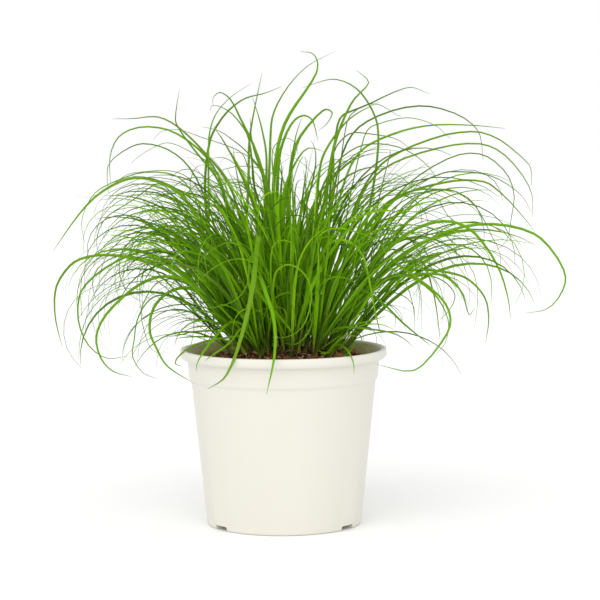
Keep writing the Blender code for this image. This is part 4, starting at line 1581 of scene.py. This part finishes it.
def add_floor(settings):
    """A wide round floor, which is stage and no part of the plant."""
    bm = bmesh.new()
    bmesh.ops.create_circle(bm, cap_ends=True, segments=FLOOR_STEPS, radius=FLOOR_RADIUS)
    floor = add_object("floor", mesh_of(bm, "floor"))
    paint = Paint("studio_floor", Roughness=0.9, Specular_IOR_Level=0.1)
    paint.feed(paint.surface.inputs["Base Color"], tuple(settings.floor))
    floor.data.materials.append(paint.material)


def add_lights(settings):
    """A broad soft light from above the front, and even light from a white surround."""
    lamp = bpy.data.lights.new("key", "SUN")
    lamp.angle = math.radians(KEY_SPREAD)
    lamp.energy = settings.key
    key = add_object("key", lamp)
    key.rotation_euler = Vector(KEY_WAY).to_track_quat("Z", "Y").to_euler()

    world = bpy.data.worlds.new("studio")
    world.use_nodes = True
    tree = world.node_tree
    light = tree.nodes["Background"]
    seen = tree.nodes.new("ShaderNodeBackground")
    for shader, strength in ((light, settings.surround), (seen, 1.0)):
        shader.inputs["Color"].default_value = WHITE
        shader.inputs["Strength"].default_value = strength
    rays = tree.nodes.new("ShaderNodeLightPath")
    mix_shaders(tree, rays.outputs["Is Camera Ray"], light, seen, "World Output")
    bpy.context.scene.world = world


def add_camera(settings):
    """The camera, aimed at the middle of the plant and levelled by its roll."""
    place = Vector((CAMERA_X, -CAMERA_BACK, CAMERA_HEIGHT))
    aim = Vector((CAMERA_X, 0.0, AIM_HEIGHT))
    lens = bpy.data.cameras.new("camera")
    lens.sensor_width = SENSOR_WIDTH
    lens.lens = settings.lens
    camera = add_object("camera", lens)
    turn = (aim - place).to_track_quat("-Z", "Y").to_matrix().to_4x4()
    roll = Matrix.Rotation(CAMERA_ROLL, 4, "Z")
    camera.matrix_world = Matrix.Translation(place) @ turn @ roll
    bpy.context.scene.camera = camera


# What a user may change


def colour_setting(name, description, default):
    """A colour that a user may change."""
    return FloatVectorProperty(
        name=name, description=description, default=default, min=0.0, max=1.0, subtype="COLOR"
    )


def share_setting(name, description, default, low, high):
    """A share of the whole, kept within its limits."""
    return FloatProperty(
        name=name, description=description, default=default, min=low, max=high, subtype="FACTOR"
    )


def strength_setting(name, description, default, high):
    """A strength, from nothing up to a limit."""
    return FloatProperty(
        name=name, description=description, default=default, min=0.0, max=high
    )


def count_setting(name, description, default, high):
    """A number of bits, from none up to a limit."""
    return IntProperty(name=name, description=description, default=default, min=0, max=high)


class PotSettings(bpy.types.PropertyGroup):
    lip_rounding: FloatProperty(
        name="Lip rounding",
        description="How far the rim's edges are rounded",
        default=0.9 * MM,
        min=0.2 * MM,
        max=1.2 * MM,
        precision=4,
        subtype="DISTANCE",
        unit="LENGTH",
    )
    plastic: colour_setting("Plastic", "The plastic's main colour", (0.745, 0.725, 0.65))
    plastic_shade: colour_setting(
        "Plastic shade",
        "The slightly darker colour that flows through the plastic",
        (0.73, 0.71, 0.63),
    )
    # Painted shade and painted green light, with some real stain, on the inside wall
    stain_and_shade_colour: colour_setting(
        "Grime colour", "The colour of the damp line inside, above the soil", (0.52, 0.45, 0.08)
    )
    # How strongly that painted shade and stain show inside
    stain_and_shade: share_setting(
        "Grime", "How strongly the inside is stained above the soil", 0.95, 0.0, 1.0
    )
    roughness: share_setting("Roughness", "How matt the plastic is", 0.42, 0.15, 0.9)


class SoilSettings(bpy.types.PropertyGroup):
    dark: colour_setting(
        "Damp soil", "The colour of the soil in its hollows", (0.012, 0.006, 0.003)
    )
    red: colour_setting(
        "Reddish bits", "The colour of most of the coir and bark", (0.24, 0.072, 0.02)
    )
    tan: colour_setting("Tan bits", "The colour of the drier bits", (0.42, 0.24, 0.10))
    pale: colour_setting(
        "Pale bits", "The colour of the few bits of fresh wood", (0.55, 0.42, 0.27)
    )
    crumbs: count_setting("Crumbs", "How many crumbs lie on the soil", 1100, 3000)
    fibres: count_setting("Fibres", "How many coir fibres lie on the soil", 240, 800)
    splinters: count_setting(
        "Splinters", "How many small flat bits of bark lie on the soil", 230, 800
    )


class GrassSettings(bpy.types.PropertyGroup):
    fullness: strength_setting(
        "Fullness", "How many fine leaves the shoots have, against the usual number", 1.0, 2.0
    )
    deep: colour_setting("Deep green", "The colour of the darkest leaves", (0.015, 0.08, 0.0003))
    green: colour_setting("Green", "The colour of most leaves", (0.165, 0.415, 0.001))
    bright: colour_setting(
        "Bright green", "The colour of the lightest leaves", (0.44, 0.82, 0.012)
    )
    pale: colour_setting(
        "Midrib", "The colour of the line along a leaf's middle", (0.46, 0.64, 0.14)
    )
    grey: colour_setting(
        "Greyed green",
        "The colour that the duller leaves take towards their ends",
        (0.19, 0.30, 0.03),
    )
    sheath: colour_setting(
        "Sheath", "The colour of the stems and the feet of the leaves", (0.30, 0.38, 0.06)
    )
    # Painted shade at the foot of the stems, partly their own brown
    brown_and_shaded_foot: colour_setting(
        "Shaded foot", "The colour of the stems that are dull at the foot", (0.05, 0.055, 0.01)
    )
    blush: colour_setting(
        "Blush",
        "The reddish colour of some stems where they leave the soil",
        (0.24, 0.09, 0.03),
    )
    tip: colour_setting(
        "Dry tip", "The colour of the tips that have begun to dry", (0.34, 0.36, 0.15)
    )
    through: colour_setting(
        "Light through", "The colour of light that shines through a leaf", (0.38, 0.74, 0.004)
    )
    thinness: share_setting(
        "Thinness", "How much of the light goes through a leaf", 0.38, 0.0, 0.8
    )
    roughness: share_setting("Roughness", "How matt the leaves are", 0.46, 0.2, 0.9)


class StudioSettings(bpy.types.PropertyGroup):
    lens: FloatProperty(
        name="Lens",
        description="The camera's focal length",
        default=147.3,
        min=50.0,
        max=300.0,
        subtype="DISTANCE_CAMERA",
        unit="CAMERA",
    )
    surround: strength_setting(
        "Surround light", "The strength of the even light from all round", 0.93, 3.0
    )
    key: strength_setting(
        "Key light", "The strength of the broad soft light from above the front", 1.25, 5.0
    )
    floor: colour_setting("Floor", "The floor's colour", (0.91, 0.91, 0.907))


class CatGrassSettings(bpy.types.PropertyGroup):
    pot: PointerProperty(name="Pot", description="The pot's settings", type=PotSettings)
    soil: PointerProperty(name="Soil", description="The soil's settings", type=SoilSettings)
    grass: PointerProperty(name="Grass", description="The leaves' settings", type=GrassSettings)
    studio: PointerProperty(
        name="Studio", description="The camera's and lights' settings", type=StudioSettings
    )


# Operators


class CATGRASS_OT_pot(bpy.types.Operator):
    """Adds the cream nursery pot, with its rolled lip, grooves and drainage holes"""

    bl_idname = "catgrass.pot"
    bl_label = "Add pot"

    def execute(self, context):
        settings = context.scene.cat_grass.pot
        lip_foot = RIM_HEIGHT - LIP_DEPTH
        shoulder_foot = BAND_FOOT_HEIGHT - SHOULDER_DROP
        edge = settings.lip_rounding
        # From the middle of the floor, up inside the wall, over the lip and down to the foot
        profile = (
            (0.0, FLOOR_THICKNESS, 0.0),
            (BASE_RADIUS - WALL, FLOOR_THICKNESS, 1.5 * MM),
            (BODY_TOP_RADIUS - WALL, shoulder_foot, 0.8 * MM),
            (BAND_FOOT_RADIUS - WALL, BAND_FOOT_HEIGHT, 0.5 * MM),
            (BAND_TOP_RADIUS - WALL, lip_foot, 1.2 * MM),
            (RIM_MOUTH_RADIUS, RIM_HEIGHT, edge),
            (RIM_RADIUS, RIM_HEIGHT, edge),
            (RIM_RADIUS, lip_foot, 2.5 * MM),
            (BAND_TOP_RADIUS, lip_foot, 0.8 * MM),
            (BAND_FOOT_RADIUS, BAND_FOOT_HEIGHT, 0.9 * MM),
            (BODY_TOP_RADIUS, shoulder_foot, 0.9 * MM),
            (BASE_RADIUS, 0.0, 1.3 * MM),
            (0.0, 0.0, 0.0),
        )
        mesh = mesh_of(spun(profile, POT_STEPS), "pot_shell")
        cutters = [groove_cutter(angle - 90.0) for angle in GROOVE_ANGLES]
        cutters += [hole_cutter(angle - 90.0) for angle in GROOVE_ANGLES]
        mesh = cut_away(mesh, cutters)
        smooth_up_to(mesh, 32.0)
        add_piece("pot_shell", mesh, plastic_paint(settings), "pot_plastic", "pot")
        return {"FINISHED"}


class CATGRASS_OT_soil(bpy.types.Operator):
    """Adds the mound of soil that fills the pot"""

    bl_idname = "catgrass.soil"
    bl_label = "Add soil"

    def execute(self, context):
        floor = FLOOR_THICKNESS + TOUCH_GAP
        rings = [SOIL_RADIUS * index / SOIL_RINGS for index in range(SOIL_RINGS + 1)]
        profile = [(radius, soil_height_at(radius), 0.0) for radius in rings]
        profile += [
            (SOIL_RADIUS, BAND_FOOT_HEIGHT + 2 * TOUCH_GAP, 0.0),
            (BODY_TOP_RADIUS - WALL - TOUCH_GAP, BAND_FOOT_HEIGHT - SHOULDER_DROP, 0.0),
            (BASE_RADIUS - WALL - TOUCH_GAP - SOIL_FOOT_GAP, floor, 0.0),
            (0.0, floor, 0.0),
        ]
        bm = spun(profile, SOIL_STEPS)
        for vertex in bm.verts:
            if vertex.co.z > SOIL_EDGE_HEIGHT - TOUCH_GAP:
                vertex.co.z = soil_top(vertex.co.x, vertex.co.y)
        mesh = mesh_of(bm, "soil_mound")
        smooth_up_to(mesh, 60.0)
        paint = soil_paint(context.scene.cat_grass.soil)
        add_piece("soil_mound", mesh, paint, "potting_soil", "soil")
        return {"FINISHED"}


class CATGRASS_OT_litter(bpy.types.Operator):
    """Adds the crumbs, splinters and fibres that lie on the soil"""

    bl_idname = "catgrass.litter"
    bl_label = "Add soil bits"

    def execute(self, context):
        settings = context.scene.cat_grass.soil
        paint = crumb_paint(settings)
        rng = random.Random(LITTER_SEED)
        mesh = crumbs_mesh(settings.crumbs, rng)
        add_piece("soil_crumbs", mesh, paint, "potting_soil")
        mesh = splinters_mesh(settings.splinters, rng)
        add_piece("soil_splinters", mesh, paint, "potting_soil")
        mesh = fibres_mesh(settings.fibres, rng)
        add_piece("soil_fibres", mesh, paint, "potting_soil")
        return {"FINISHED"}


class CATGRASS_OT_bark(bpy.types.Operator):
    """Adds the five larger bark chips, torn and layered"""

    bl_idname = "catgrass.bark"
    bl_label = "Add bark chips"

    def execute(self, context):
        paint = bark_paint(context.scene.cat_grass.soil)
        for index, chip in enumerate(BARK_CHIPS, start=1):
            mesh = flake_mesh(index, chip)
            add_piece(f"bark_flake_{index}", mesh, paint, "pine_bark", f"bark_chip_{index}")
        return {"FINISHED"}


class CATGRASS_OT_shoots(bpy.types.Operator):
    """Adds every shoot of the clump, each with its stem and all its leaves"""

    bl_idname = "catgrass.shoots"
    bl_label = "Add shoots"

    def execute(self, context):
        settings = context.scene.cat_grass.grass
        paint = grass_paint(settings)
        blade = Strand(BLADE_SIDES, BLADE_SEGMENTS)
        long_blade = Strand(BLADE_SIDES, LONG_BLADE_SEGMENTS)
        sheath = Strand(SHEATH_SIDES, SHEATH_SEGMENTS)
        shoots, leaves = grow_clump()
        drawn = finer_drawn_leaves(shoots)
        for shoot in shoots:
            rng = random.Random(SHOOT_SEED + shoot.index)
            bundle = Bundle()
            lay_sheath(bundle, sheath, shoot, rng)
            for leaf in leaves:
                if leaf.shoot is shoot:
                    lay_solid_leaf(bundle, blade, long_blade, leaf, rng)
            for owner, run, width, tone in drawn:
                if owner is shoot:
                    lay_drawn_leaf(bundle, long_blade, run, width, tone, rng)
            outward = shoot.index / SHOOT_COUNT
            for kind in KINDS:
                count = kind.inner + (kind.outer - kind.inner) * outward
                for _ in range(round(count * settings.fullness)):
                    lay_fine_leaf(bundle, blade, shoot, kind, rng)
            name = f"shoot_{shoot.index + 1:02d}"
            mesh = bundle.mesh(f"{name}_leaves")
            smooth_up_to(mesh, 28.0)
            add_piece(f"{name}_leaves", mesh, paint, "grass_leaf", name)
        return {"FINISHED"}


class CATGRASS_OT_studio(bpy.types.Operator):
    """Adds the floor, the soft lights and the camera"""

    bl_idname = "catgrass.studio"
    bl_label = "Add studio"

    def execute(self, context):
        settings = context.scene.cat_grass.studio
        add_floor(settings)
        add_lights(settings)
        add_camera(settings)
        context.scene.view_settings.view_transform = "Standard"
        return {"FINISHED"}


class CATGRASS_PT_panel(bpy.types.Panel):
    """The settings and the steps that use them"""

    bl_label = "Potted cat grass"
    bl_idname = "CATGRASS_PT_panel"
    bl_space_type = "VIEW_3D"
    bl_region_type = "UI"
    bl_category = "Cat grass"

    def draw(self, context):
        settings = context.scene.cat_grass
        for group, operators in PANEL_ROWS:
            box = self.layout.box()
            values = getattr(settings, group)
            for name in values.__annotations__:
                box.prop(values, name)
            for operator in operators:
                box.operator(operator.bl_idname)


PANEL_ROWS = (
    ("pot", (CATGRASS_OT_pot,)),
    ("soil", (CATGRASS_OT_soil, CATGRASS_OT_litter, CATGRASS_OT_bark)),
    ("grass", (CATGRASS_OT_shoots,)),
    ("studio", (CATGRASS_OT_studio,)),
)

CLASSES = (
    PotSettings,
    SoilSettings,
    GrassSettings,
    StudioSettings,
    CatGrassSettings,
    CATGRASS_OT_pot,
    CATGRASS_OT_soil,
    CATGRASS_OT_litter,
    CATGRASS_OT_bark,
    CATGRASS_OT_shoots,
    CATGRASS_OT_studio,
    CATGRASS_PT_panel,
)


def register():
    for kind in CLASSES:
        bpy.utils.register_class(kind)
    bpy.types.Scene.cat_grass = PointerProperty(type=CatGrassSettings)


def unregister():
    del bpy.types.Scene.cat_grass
    for kind in reversed(CLASSES):
        bpy.utils.unregister_class(kind)


def main():
    register()
    bpy.ops.catgrass.studio()
    bpy.ops.catgrass.pot()
    bpy.ops.catgrass.soil()
    bpy.ops.catgrass.litter()
    bpy.ops.catgrass.bark()
    bpy.ops.catgrass.shoots()


if __name__ == "__main__":
    main()
